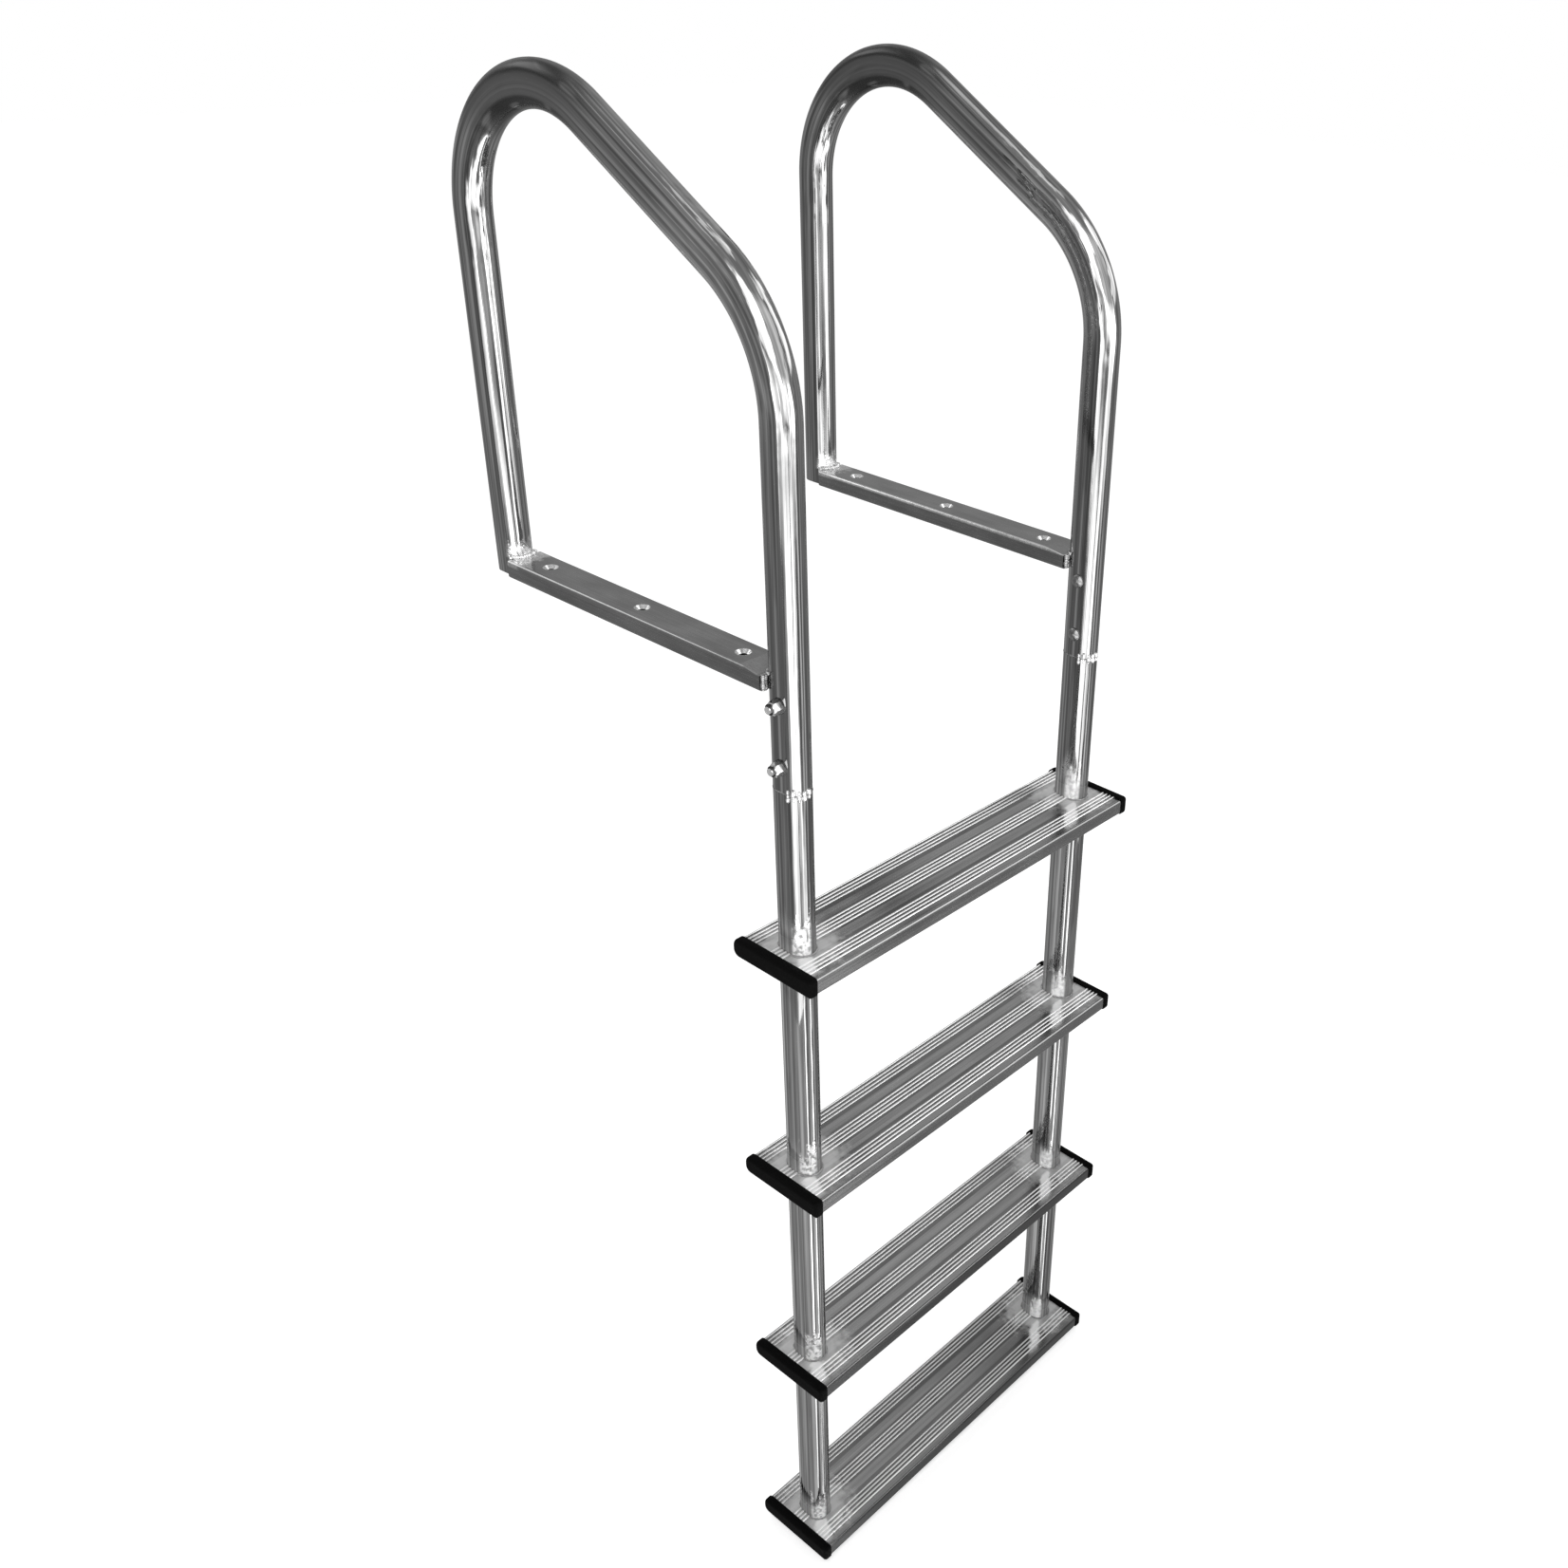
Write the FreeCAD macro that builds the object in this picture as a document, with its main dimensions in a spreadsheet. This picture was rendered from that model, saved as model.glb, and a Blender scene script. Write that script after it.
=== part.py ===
"""Dock ladder: two bent handrails on deck bars, spliced to side rails that carry
four ribbed steps.

Millimetres, +Z up, +X to the right seen from the water, +Y towards the dock.
The origin lies on the underside of the left deck bar, over the edge of the deck.
"""
import FreeCAD, Part
import math
import os

import Sketcher
from FreeCAD import Rotation, Vector

# Driving dimensions in millimetres and degrees: alias, value, what it is.
DRIVING_SIZES = (
    ("tube_depth", 43.5, "flat-sided tube, front to back"),
    ("tube_width", 31.0, "flat-sided tube, side to side"),
    ("tube_wall", 3.0, "tube wall"),
    ("rail_spacing", 465.0, "tube centre to tube centre, left to right"),
    ("leg_spacing", 440.0, "front leg centre to rear leg centre"),
    ("slope_angle", 30.0, "fall of the sloping handrail below level"),
    ("front_corner_rise", 344.0, "deck to where slope and front leg lines cross"),
    ("rear_bend_radius", 130.0, "centre line radius of the top bend"),
    ("front_bend_radius", 150.0, "centre line radius of the front bend"),
    ("splice_drop", 106.0, "deck level down to the splice joint"),
    ("splice_gap", 0.6, "gap between the two tube ends at the splice"),
    ("deck_edge_gap", 20.0, "back of the front leg to the edge of the deck"),
    ("bar_width", 45.0, "deck bar, side to side"),
    ("bar_height", 20.0, "deck bar, height"),
    ("bar_wall", 4.0, "deck bar wall"),
    ("bar_corner", 3.5, "radius of the deck bar's long edges"),
    ("bar_cope", 4.0, "how far the bar's ends reach round the legs"),
    ("foot_plate", 12.0, "plate that closes the foot of the rear leg"),
    ("foot_round", 9.0, "rounding of the rear leg's foot at its back"),
    ("bar_bevel_length", 25.0, "length of the bevel at the bar's front end"),
    ("bar_bevel_drop", 3.0, "drop of that bevel at the leg"),
    ("screw_pitch", 155.0, "deck screw hole to the next one"),
    ("screw_hole", 9.0, "deck screw hole diameter"),
    ("screw_sink", 16.0, "countersink diameter"),
    ("screw_sink_angle", 90.0, "countersink angle"),
    ("fit_gap", 0.3, "clearance round a tube or an inserted piece"),
    ("first_step_drop", 298.0, "deck level down to the top of the first step"),
    ("step_pitch", 304.8, "top of a step to the top of the next one"),
    ("step_overhang", 15.5, "side of the tube to the end of the step"),
    ("step_depth", 117.0, "step, front to back"),
    ("step_height", 19.0, "step without its ribs"),
    ("step_nose", 3.0, "radius of the step's front edges"),
    ("step_heel", 8.0, "radius of the step's rear edges"),
    ("hollow_round", 1.4, "radius of the corners inside the step"),
    ("step_wall", 2.6, "step wall"),
    ("step_web", 2.6, "web inside the step"),
    ("web_offset", 30.0, "tube centre line to a web's middle"),
    ("rib_pitch", 5.4, "rib to the next rib"),
    ("rib_width", 2.6, "width of a half-round rib"),
    ("rear_rib_inset", 6.2, "back edge to the first rib"),
    ("middle_rib_shift", 3.8, "middle of the centre ribs behind the tube centre"),
    ("front_rib_inset", 12.4, "front edge to the first rib"),
    ("weld_gap", 0.05, "weld bead to the tube it runs round"),
    ("top_bead", 2.2, "leg of the beads on the top of a step"),
    ("under_bead", 3.4, "leg of the beads under a step"),
    ("bar_bead", 4.0, "leg of the beads between bar and leg"),
    ("corner_bead", 2.8, "radius of the upright beads at the bar's ends"),
    ("splice_bead", 1.4, "how far the splice bead stands out"),
    ("splice_bead_height", 6.4, "splice bead, top to foot"),
    ("splice_crown", 1.1, "rounding of the splice bead"),
    ("under_crown", 2.9, "rounding of the beads under a step"),
    ("front_bead_angle", 170.0, "how far a step's front bead runs round"),
    ("rear_bead_angle", 90.0, "how far a step's rear bead runs round"),
    ("bar_bead_angle", 110.0, "how far a deck bar's top bead runs round"),
    ("cap_thickness", 8.0, "end cap plate"),
    ("cap_lip", 1.4, "how far the cap stands proud of the step"),
    ("cap_round", 2.6, "rounding of the cap's outer edge"),
    ("plug_stop", 1.2, "end of a cap plug to the tube hole"),
    ("insert_above", 104.0, "splice insert above the joint"),
    ("insert_below", 60.0, "splice insert below the joint"),
    ("insert_wall", 3.0, "splice insert wall"),
    ("bolt_rise", 28.0, "joint up to the lower bolt"),
    ("bolt_pitch", 67.0, "lower bolt to upper bolt"),
    ("bolt_thread", 8.0, "bolt diameter"),
    ("bolt_clearance", 0.6, "bolt hole over bolt diameter"),
    ("thread_gap", 0.2, "nut and washer bore over bolt diameter"),
    ("bolt_end", 2.4, "bolt end past the nut"),
    ("head_diameter", 16.0, "domed bolt head diameter"),
    ("head_rim", 1.2, "straight rim of the bolt head"),
    ("head_height", 4.6, "domed bolt head height"),
    ("washer_diameter", 17.0, "washer diameter"),
    ("washer_thickness", 1.6, "washer thickness"),
    ("nut_flats", 13.0, "nut across flats"),
    ("nut_height", 7.2, "hexagonal part of the nut"),
    ("nut_chamfer", 0.8, "chamfer of the nut's corners"),
    ("collar_diameter", 11.6, "round collar of the lock nut"),
    ("collar_height", 2.8, "height of that collar"),
    ("rail_tail", 6.0, "side rail below the bottom step"),
    ("foot_plug_depth", 22.0, "plug inside the foot of a side rail"),
    ("foot_plug_flange", 4.0, "flange of that plug below the rail"),
)

# Sizes that follow from the driving ones: alias, expression.
DERIVED_SIZES = (
    ("front_leg_y", "-deck_edge_gap - tube_depth / 2"),
    ("rear_leg_y", "front_leg_y + leg_spacing"),
    ("tube_straight", "tube_depth - tube_width"),
    ("rear_corner_rise", "front_corner_rise + leg_spacing * tan(slope_angle)"),
    ("rear_tangent", "rear_bend_radius * tan(45 + slope_angle / 2)"),
    ("front_tangent", "front_bend_radius * tan(45 - slope_angle / 2)"),
    ("bore_depth", "tube_depth - 2 * tube_wall"),
    ("bore_width", "tube_width - 2 * tube_wall"),
    ("insert_depth", "bore_depth - 2 * fit_gap"),
    ("insert_width", "bore_width - 2 * fit_gap"),
    ("bolt_hole", "bolt_thread + bolt_clearance"),
    ("nut_bore", "bolt_thread + thread_gap"),
    ("lower_bolt_z", "bolt_rise - splice_drop"),
    ("upper_bolt_z", "lower_bolt_z + bolt_pitch"),
    ("step_length", "rail_spacing + tube_width + 2 * step_overhang"),
    ("chamber_top", "-step_wall"),
    ("chamber_foot", "step_wall - step_height"),
    ("chamber_outer", "step_depth / 2 - step_wall"),
    ("chamber_web_side", "web_offset + step_web / 2"),
    ("chamber_middle", "web_offset - step_web / 2"),
    ("heel_hollow", "step_heel - step_wall"),
    ("plug_depth", "step_overhang - fit_gap - plug_stop"),
    ("rib_height", "rib_width / 2"),
    ("bead_seat", "tube_width / 2 + weld_gap"),
    ("last_step_z", "-first_step_drop - 3 * step_pitch"),
    ("rail_foot_z", "last_step_z - step_height - rail_tail"),
    ("rail_top_z", "-splice_drop - splice_gap / 2"),
    ("leg_foot_z", "-splice_drop + splice_gap / 2"),
    ("bar_nose_y", "front_leg_y + tube_depth / 2"),
    ("bar_start_y", "bar_nose_y - bar_cope"),
    ("bar_end_y", "rear_leg_y - tube_depth / 2 + bar_cope"),
    ("middle_screw_y", "(bar_start_y + bar_end_y) / 2"),
    ("through_cut", "4 * tube_width"),
)

STEP_COUNT = 4
SIDES = {"left": 0, "right": 1}
TURNS = {"left": 180, "right": 0}
RAIL_PLACES = ("-rail_spacing / 2", "rail_spacing / 2")

# Which way a bead faces from its rail, and the angle that it runs round.
END_BEADS = {"Front": (-1, "front_bead_angle"), "Rear": (1, "rear_bead_angle")}
RIB_COUNT = 4

# Points of a sketch curve, as Sketcher counts them.
START, END, CENTRE = range(1, 4)

doc = FreeCAD.newDocument("DockLadder")
sizes = doc.addObject("Spreadsheet::Sheet", "Sizes")


def fill_sheet():
    """Write the driving and the derived sizes into the sheet."""
    row = 0
    for alias, value, note in DRIVING_SIZES:
        row += 1
        sizes.set(f"A{row}", note)
        sizes.set(f"B{row}", str(value))
        sizes.setAlias(f"B{row}", alias)
    for alias, formula in DERIVED_SIZES:
        row += 1
        sizes.set(f"A{row}", alias.replace("_", " "))
        sizes.set(f"B{row}", "=" + formula)
        sizes.setAlias(f"B{row}", alias)
    doc.recompute()


def size(formula):
    """Present value of a formula in the sheet's names."""
    return float(sizes.evalExpression(formula))


def bind(item, prop, formula):
    """Tie a property to the sheet, with each alias read from it."""
    item.setExpression(prop, sheet_formula(formula))


def sheet_formula(formula):
    """The formula with every alias written as Sizes.alias."""
    aliases = [entry[0] for entry in DRIVING_SIZES + DERIVED_SIZES]
    words = []
    word = ""
    for letter in formula + " ":
        if letter.isalnum() or letter == "_":
            word += letter
            continue
        words.append("Sizes." + word if word in aliases else word)
        words.append(letter)
        word = ""
    return "".join(words).strip()


def new_body(name, x="0", y="0", z="0", turn=0):
    """An empty body with its place bound to the sheet, turned about +Z."""
    body = doc.addObject("PartDesign::Body", name)
    body.Label = name
    body.Placement.Rotation = Rotation(Vector(0, 0, 1), turn)
    bind(body, "Placement.Base.x", x)
    bind(body, "Placement.Base.y", y)
    bind(body, "Placement.Base.z", z)
    return body


def origin_item(body, role):
    """One of the body's own origin planes or axes."""
    for feature in body.Origin.OriginFeatures:
        if feature.Role == role:
            return feature


class Sketch:
    """A sketch on an origin plane of a body, with its sizes bound to the sheet."""

    def __init__(self, body, plane, name, offset="0", shift=("0", "0")):
        self.item = body.newObject("Sketcher::SketchObject", name)
        self.item.AttachmentSupport = (origin_item(body, plane), [""])
        self.item.MapMode = "FlatFace"
        bind(self.item, "AttachmentOffset.Base.x", shift[0])
        bind(self.item, "AttachmentOffset.Base.y", shift[1])
        bind(self.item, "AttachmentOffset.Base.z", offset)

    def constrain(self, *terms):
        """Add a constraint that holds no size."""
        self.item.addConstraint(Sketcher.Constraint(*terms))

    def measure(self, kind, *terms):
        """Add a constraint whose size is the formula that comes last."""
        *places, formula = terms
        index = self.item.addConstraint(
            Sketcher.Constraint(kind, *places, size(formula))
        )
        bind(self.item, f"Constraints[{index}]", formula)

    def fix(self, curve, point, x, y):
        """Hold a point of a curve at x, y from the sketch's origin."""
        self.measure("DistanceX", -1, 1, curve, point, x)
        self.measure("DistanceY", -1, 1, curve, point, y)

    def polygon(self, corners):
        """Closed outline through corners given as pairs of formulas."""
        points = [Vector(size(x), size(y), 0) for x, y in corners]
        following = points[1:] + points[:1]
        lines = [
            self.item.addGeometry(Part.LineSegment(start, end))
            for start, end in zip(points, following)
        ]
        for line, after in zip(lines, lines[1:] + lines[:1]):
            self.constrain("Coincident", line, 2, after, 1)
        for line, (x, y) in zip(lines, corners):
            self.fix(line, 1, x, y)
        return lines

    def open_lines(self, places):
        """Joined lines through places given as pairs of formulas, left open."""
        points = [Vector(size(x), size(y), 0) for x, y in places]
        lines = [
            self.item.addGeometry(Part.LineSegment(start, end))
            for start, end in zip(points, points[1:])
        ]
        for line, after in zip(lines, lines[1:]):
            self.constrain("Coincident", line, 2, after, 1)
        for line, (x, y) in zip(lines, places):
            self.fix(line, 1, x, y)
        self.fix(lines[-1], 2, *places[-1])
        return lines

    def circle(self, x, y, diameter):
        """Circle round x, y."""
        centre = Vector(size(x), size(y), 0)
        ring = Part.Circle(centre, Vector(0, 0, 1), size(diameter) / 2)
        curve = self.item.addGeometry(ring)
        self.fix(curve, CENTRE, x, y)
        self.measure("Diameter", curve, diameter)

    def arc(self, x, y, radius, start, end):
        """Arc round x, y from one angle to another, in degrees."""
        centre = Vector(size(x), size(y), 0)
        ring = Part.Circle(centre, Vector(0, 0, 1), size(radius))
        span = (math.radians(start), math.radians(end))
        return self.item.addGeometry(Part.ArcOfCircle(ring, *span))

    def oval(self, x, y, depth, width):
        """Flat-sided oval round x, y with its flats along the sketch's y."""
        radius = f"({width}) / 2"
        reach = f"(({depth}) - ({width})) / 2"
        top = self.arc(x, f"({y}) + {reach}", radius, 0, 180)
        foot = self.arc(x, f"({y}) - {reach}", radius, 180, 360)
        left_x = size(f"({x}) - {radius}")
        right_x = size(f"({x}) + {radius}")
        high = size(f"({y}) + {reach}")
        low = size(f"({y}) - {reach}")
        left = self.item.addGeometry(
            Part.LineSegment(Vector(left_x, high, 0), Vector(left_x, low, 0))
        )
        right = self.item.addGeometry(
            Part.LineSegment(Vector(right_x, low, 0), Vector(right_x, high, 0))
        )
        self.constrain("Tangent", top, 2, left, 1)
        self.constrain("Tangent", left, 2, foot, 1)
        self.constrain("Tangent", foot, 2, right, 1)
        self.constrain("Tangent", right, 2, top, 1)
        self.constrain("Vertical", left)
        self.constrain("Vertical", right)
        self.fix(top, CENTRE, x, f"({y}) + {reach}")
        self.measure("DistanceY", -1, 1, foot, CENTRE, f"({y}) - {reach}")
        self.measure("Radius", top, radius)

    def rounded_box(self, x_low, x_high, y_low, y_high, low_round, high_round):
        """Rectangle whose corners are rounded, by one radius at each end of x."""
        centres = (
            (f"({x_high}) - ({high_round})", f"({y_high}) - ({high_round})"),
            (f"({x_low}) + ({low_round})", f"({y_high}) - ({low_round})"),
            (f"({x_low}) + ({low_round})", f"({y_low}) + ({low_round})"),
            (f"({x_high}) - ({high_round})", f"({y_low}) + ({high_round})"),
        )
        radii = (high_round, low_round, low_round, high_round)
        corners = [
            self.arc(x, y, radius, 90 * turn, 90 * turn + 90)
            for turn, ((x, y), radius) in enumerate(zip(centres, radii))
        ]
        directions = ("Horizontal", "Vertical", "Horizontal", "Vertical")
        following = corners[1:] + corners[:1]
        for corner, after, direction in zip(corners, following, directions):
            start = self.item.getPoint(corner, END)
            end = self.item.getPoint(after, START)
            side = self.item.addGeometry(Part.LineSegment(start, end))
            self.constrain("Tangent", corner, END, side, START)
            self.constrain("Tangent", side, END, after, START)
            self.constrain(direction, side)
        for corner in (0, 2):
            self.fix(corners[corner], CENTRE, *centres[corner])
            self.measure("Radius", corners[corner], radii[corner])
        self.constrain("Equal", corners[0], corners[3])
        self.constrain("Equal", corners[1], corners[2])


def pad(body, sketch, name, length, side_type="One side", reverse=False):
    """Pad a sketch by a bound length."""
    feature = body.newObject("PartDesign::Pad", name)
    feature.Profile = sketch.item
    feature.SideType = side_type
    feature.Reversed = reverse
    bind(feature, "Length", length)
    return feature


def pocket(body, sketch, name, length, side_type="One side", reverse=False):
    """Cut a sketch into the body by a bound length."""
    feature = body.newObject("PartDesign::Pocket", name)
    feature.Profile = sketch.item
    feature.SideType = side_type
    feature.Reversed = reverse
    bind(feature, "Length", length)
    return feature


def revolve(body, sketch, name, axis, angle="360", symmetric=False):
    """Turn a sketch about one of its own axes, by a bound angle."""
    feature = body.newObject("PartDesign::Revolution", name)
    feature.Profile = sketch.item
    feature.ReferenceAxis = (sketch.item, [axis])
    feature.Midplane = symmetric
    bind(feature, "Angle", angle)
    return feature


def edges_where(feature, wanted):
    """Names of the feature's edges that the test accepts."""
    edges = enumerate(feature.Shape.Edges, start=1)
    return [f"Edge{number}" for number, edge in edges if wanted(edge)]


def round_edges(body, feature, name, radius, wanted):
    """Fillet the edges that the test accepts."""
    doc.recompute()
    fillet = body.newObject("PartDesign::Fillet", name)
    fillet.Base = (feature, edges_where(feature, wanted))
    bind(fillet, "Radius", radius)
    return fillet


def lies_at(edge, axis, place):
    """Whether an edge lies whole in the plane axis = place."""
    near = 0.01
    box = edge.BoundBox
    low = getattr(box, axis + "Min")
    high = getattr(box, axis + "Max")
    return abs(low - place) < near and abs(high - place) < near


# Tubes: handrails, side rails and the inserts that splice them.


def rail_x(side):
    """Place across the ladder of a rail's centre line."""
    return f"{SIDES[side]} * rail_spacing"


def drill_bolt_holes(body, places):
    """Cross holes for the splice bolts, at heights given as formulas."""
    holes = Sketch(body, "YZ_Plane", "BoltHoleCircles")
    for place in places:
        holes.circle("0", place, "bolt_hole")
    pocket(body, holes, "BoltHoles", "through_cut", "Symmetric")


def make_handrail(side):
    """One bent tube: rear leg, top bend, slope, front bend and front leg."""
    body = new_body(f"{side}_handrail", rail_x(side), "front_leg_y")

    path = Sketch(body, "YZ_Plane", "CentreLine")
    item = path.item
    slope = math.radians(size("slope_angle"))
    rear_y = size("leg_spacing")
    rear_end = size("rear_corner_rise - rear_tangent")
    front_end = size("front_corner_rise - front_tangent")
    rear_run = size("rear_tangent")
    front_run = size("front_tangent")
    rear_top = Vector(rear_y, size("rear_corner_rise"), 0)
    front_top = Vector(0, size("front_corner_rise"), 0)
    fall = Vector(-math.cos(slope), -math.sin(slope), 0)
    rear_leg = item.addGeometry(
        Part.LineSegment(Vector(rear_y, 0, 0), Vector(rear_y, rear_end, 0))
    )
    top_bend = path.arc(
        "leg_spacing - rear_bend_radius",
        "rear_corner_rise - rear_tangent",
        "rear_bend_radius",
        0,
        90 + size("slope_angle"),
    )
    sloping = item.addGeometry(
        Part.LineSegment(rear_top + fall * rear_run, front_top - fall * front_run)
    )
    low_bend = path.arc(
        "front_bend_radius",
        "front_corner_rise - front_tangent",
        "front_bend_radius",
        90 + size("slope_angle"),
        180,
    )
    front_leg = item.addGeometry(
        Part.LineSegment(Vector(0, front_end, 0), Vector(0, size("leg_foot_z"), 0))
    )
    path.constrain("Tangent", rear_leg, 2, top_bend, 1)
    path.constrain("Tangent", top_bend, 2, sloping, 1)
    path.constrain("Tangent", sloping, 2, low_bend, 1)
    path.constrain("Tangent", low_bend, 2, front_leg, 1)
    path.fix(rear_leg, 1, "leg_spacing", "0")
    path.measure("DistanceX", -1, 1, rear_leg, 2, "leg_spacing")
    path.fix(front_leg, 1, "0", "front_corner_rise - front_tangent")
    path.fix(front_leg, 2, "0", "leg_foot_z")
    path.measure("Radius", top_bend, "rear_bend_radius")
    path.measure("Radius", low_bend, "front_bend_radius")
    path.measure("DistanceY", -1, 1, rear_leg, 2, "rear_corner_rise - rear_tangent")

    profile = Sketch(body, "XY_Plane", "TubeSection")
    profile.oval("0", "leg_spacing", "tube_depth", "tube_width")
    profile.oval("0", "leg_spacing", "bore_depth", "bore_width")

    tube = body.newObject("PartDesign::AdditivePipe", "BentTube")
    tube.Profile = profile.item
    tube.Spine = path.item
    doc.recompute()
    drill_bolt_holes(body, ("lower_bolt_z", "upper_bolt_z"))
    close_rear_foot(body)
    return body


def close_rear_foot(body):
    """Plate inside the foot of the rear leg, and the foot's rounded back."""
    plate = Sketch(body, "XY_Plane", "FootPlateOutline")
    plate.oval("0", "leg_spacing", "bore_depth", "bore_width")
    pad(body, plate, "FootPlate", "foot_plate")

    corner = Sketch(body, "YZ_Plane", "FootCorner")
    back = "leg_spacing + tube_depth / 2"
    inner = f"{back} - foot_round"
    outer = f"{back} + foot_round"
    places = (
        (inner, "0"),
        (inner, "-foot_round"),
        (outer, "-foot_round"),
        (outer, "foot_round"),
        (back, "foot_round"),
    )
    lines = corner.open_lines(places)
    bend = corner.arc(inner, "foot_round", "foot_round", -90, 0)
    corner.constrain("Coincident", bend, 1, lines[0], 1)
    corner.constrain("Coincident", bend, 2, lines[-1], 2)
    corner.measure("Radius", bend, "foot_round")
    pocket(body, corner, "RoundedFoot", "through_cut", "Symmetric")


def make_straight_tube(name, side, top, foot, depth, width, wall):
    """Hollow flat-sided tube between two heights on the front leg's line."""
    body = new_body(name, rail_x(side), "front_leg_y")
    profile = Sketch(body, "XY_Plane", "TubeSection", foot)
    profile.oval("0", "0", depth, width)
    profile.oval("0", "0", f"{depth} - 2 * {wall}", f"{width} - 2 * {wall}")
    pad(body, profile, "Tube", f"({top}) - ({foot})")
    return body


def make_side_rail(side):
    """Straight tube from the splice down through the steps."""
    name = f"{side}_side_rail"
    ends = ("rail_top_z", "rail_foot_z")
    return make_straight_tube(
        name, side, *ends, "tube_depth", "tube_width", "tube_wall"
    )


def make_splice_insert(side):
    """Inner tube that joins the front leg to the side rail."""
    name = f"{side}_splice_insert"
    ends = ("insert_above - splice_drop", "-insert_below - splice_drop")
    body = make_straight_tube(
        name, side, *ends, "insert_depth", "insert_width", "insert_wall"
    )
    drill_bolt_holes(body, ("lower_bolt_z", "upper_bolt_z"))
    return body


def make_foot_plug(side):
    """Plug that closes the lower end of a side rail."""
    body = new_body(f"{side}_foot_plug", rail_x(side), "front_leg_y", "rail_foot_z")
    flange = Sketch(body, "XY_Plane", "FlangeOutline")
    flange.oval("0", "0", "tube_depth", "tube_width")
    pad(body, flange, "Flange", "foot_plug_flange", reverse=True)
    plug = Sketch(body, "XY_Plane", "PlugOutline")
    plug.oval("0", "0", "insert_depth", "insert_width")
    pad(body, plug, "Plug", "foot_plug_depth")
    return body


# Deck bars with their screw holes.


def make_deck_bar(side):
    """Hollow bar with rounded edges, coped to the legs, with three screw holes."""
    body = new_body(f"{side}_deck_bar", rail_x(side))
    section = Sketch(body, "XZ_Plane", "BarSection", "-bar_start_y")
    half = "bar_width / 2"
    corners = ("bar_corner", "bar_corner")
    section.rounded_box(f"-{half}", half, "0", "bar_height", *corners)
    pad(body, section, "Bar", "bar_end_y - bar_start_y", reverse=True)

    core = Sketch(body, "XZ_Plane", "CoreSection", "-bar_end_y")
    core.rounded_box(
        f"bar_wall - {half}",
        f"{half} - bar_wall",
        "bar_wall",
        "bar_height - bar_wall",
        "bar_corner / 2",
        "bar_corner / 2",
    )
    length = "bar_end_y - bar_nose_y - bar_bevel_length - bar_wall"
    pocket(body, core, "Core", length, reverse=True)

    bevel = Sketch(body, "YZ_Plane", "BevelOutline")
    bevel.polygon(
        (
            ("bar_nose_y + bar_bevel_length", "bar_height"),
            ("bar_nose_y", "bar_height - bar_bevel_drop"),
            ("bar_start_y", "bar_height - bar_bevel_drop"),
            ("bar_start_y", "bar_height + bar_bevel_drop"),
            ("bar_nose_y + bar_bevel_length", "bar_height + bar_bevel_drop"),
        )
    )
    pocket(body, bevel, "Bevel", "through_cut", "Symmetric")

    seats = Sketch(body, "XY_Plane", "LegSeats")
    outline = ("tube_depth + 2 * fit_gap", "tube_width + 2 * fit_gap")
    seats.oval("0", "front_leg_y", *outline)
    seats.oval("0", "rear_leg_y", *outline)
    pocket(body, seats, "Seats", "through_cut", "Symmetric")

    circles = Sketch(body, "XY_Plane", "ScrewCircles", "bar_height")
    for step in (-1, 0, 1):
        circles.circle("0", f"middle_screw_y + {step} * screw_pitch", "screw_hole")
    doc.recompute()
    holes = body.newObject("PartDesign::Hole", "ScrewHoles")
    holes.Profile = circles.item
    holes.DepthType = "ThroughAll"
    holes.Threaded = False
    holes.HoleCutType = "Countersink"
    holes.HoleCutCustomValues = True
    bind(holes, "Diameter", "screw_hole")
    bind(holes, "HoleCutDiameter", "screw_sink")
    bind(holes, "HoleCutCountersinkAngle", "screw_sink_angle")
    return body


# Steps and their end caps.


def step_z(number):
    """Height of the top of a step, counted from the uppermost one."""
    return f"-first_step_drop - {number - 1} * step_pitch"


def rib_row(body, name, first_y):
    """A half-round rib along the step and its copies behind it."""
    outline = Sketch(body, "YZ_Plane", f"{name}Outline")
    half = "rib_width / 2"
    places = (
        (f"{first_y} - {half}", "0"),
        (f"{first_y} - {half}", "-step_wall / 2"),
        (f"{first_y} + {half}", "-step_wall / 2"),
        (f"{first_y} + {half}", "0"),
    )
    lines = outline.open_lines(places)
    crest = outline.arc(first_y, "0", half, 0, 180)
    outline.constrain("Coincident", crest, 1, lines[-1], 2)
    outline.constrain("Coincident", crest, 2, lines[0], 1)
    outline.measure("DistanceY", -1, 1, crest, CENTRE, "0")
    rib = pad(body, outline, name, "step_length", "Symmetric")
    row = body.newObject("PartDesign::LinearPattern", f"{name}Row")
    row.Originals = [rib]
    row.Direction = (origin_item(body, "Y_Axis"), [""])
    row.Occurrences = RIB_COUNT
    bind(row, "Length", f"{RIB_COUNT - 1} * rib_pitch")
    body.Tip = row


def chamber_outlines(sketch, gap="0", rear=1):
    """The three hollows of a step, or plugs that fit them; rear is 1 or -1 along x."""
    heights = (f"chamber_foot + {gap}", f"chamber_top - {gap}")
    corner = f"hollow_round - {gap}"
    heel = f"heel_hollow - {gap}"
    outer = f"chamber_outer - {gap}"
    web_side = f"chamber_web_side + {gap}"
    middle = f"chamber_middle - {gap}"
    low_end, high_end = (corner, heel)[::rear]
    sketch.rounded_box(web_side, outer, *heights, corner, high_end)
    sketch.rounded_box(f"-({outer})", f"-({web_side})", *heights, low_end, corner)
    sketch.rounded_box(f"-({middle})", middle, *heights, corner, corner)


def rail_ovals(sketch, grow):
    """Both rails' outlines on a step, grown all round by a gap."""
    for across in RAIL_PLACES:
        depth = f"tube_depth + 2 * ({grow})"
        sketch.oval(across, "0", depth, f"tube_width + 2 * ({grow})")


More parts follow.
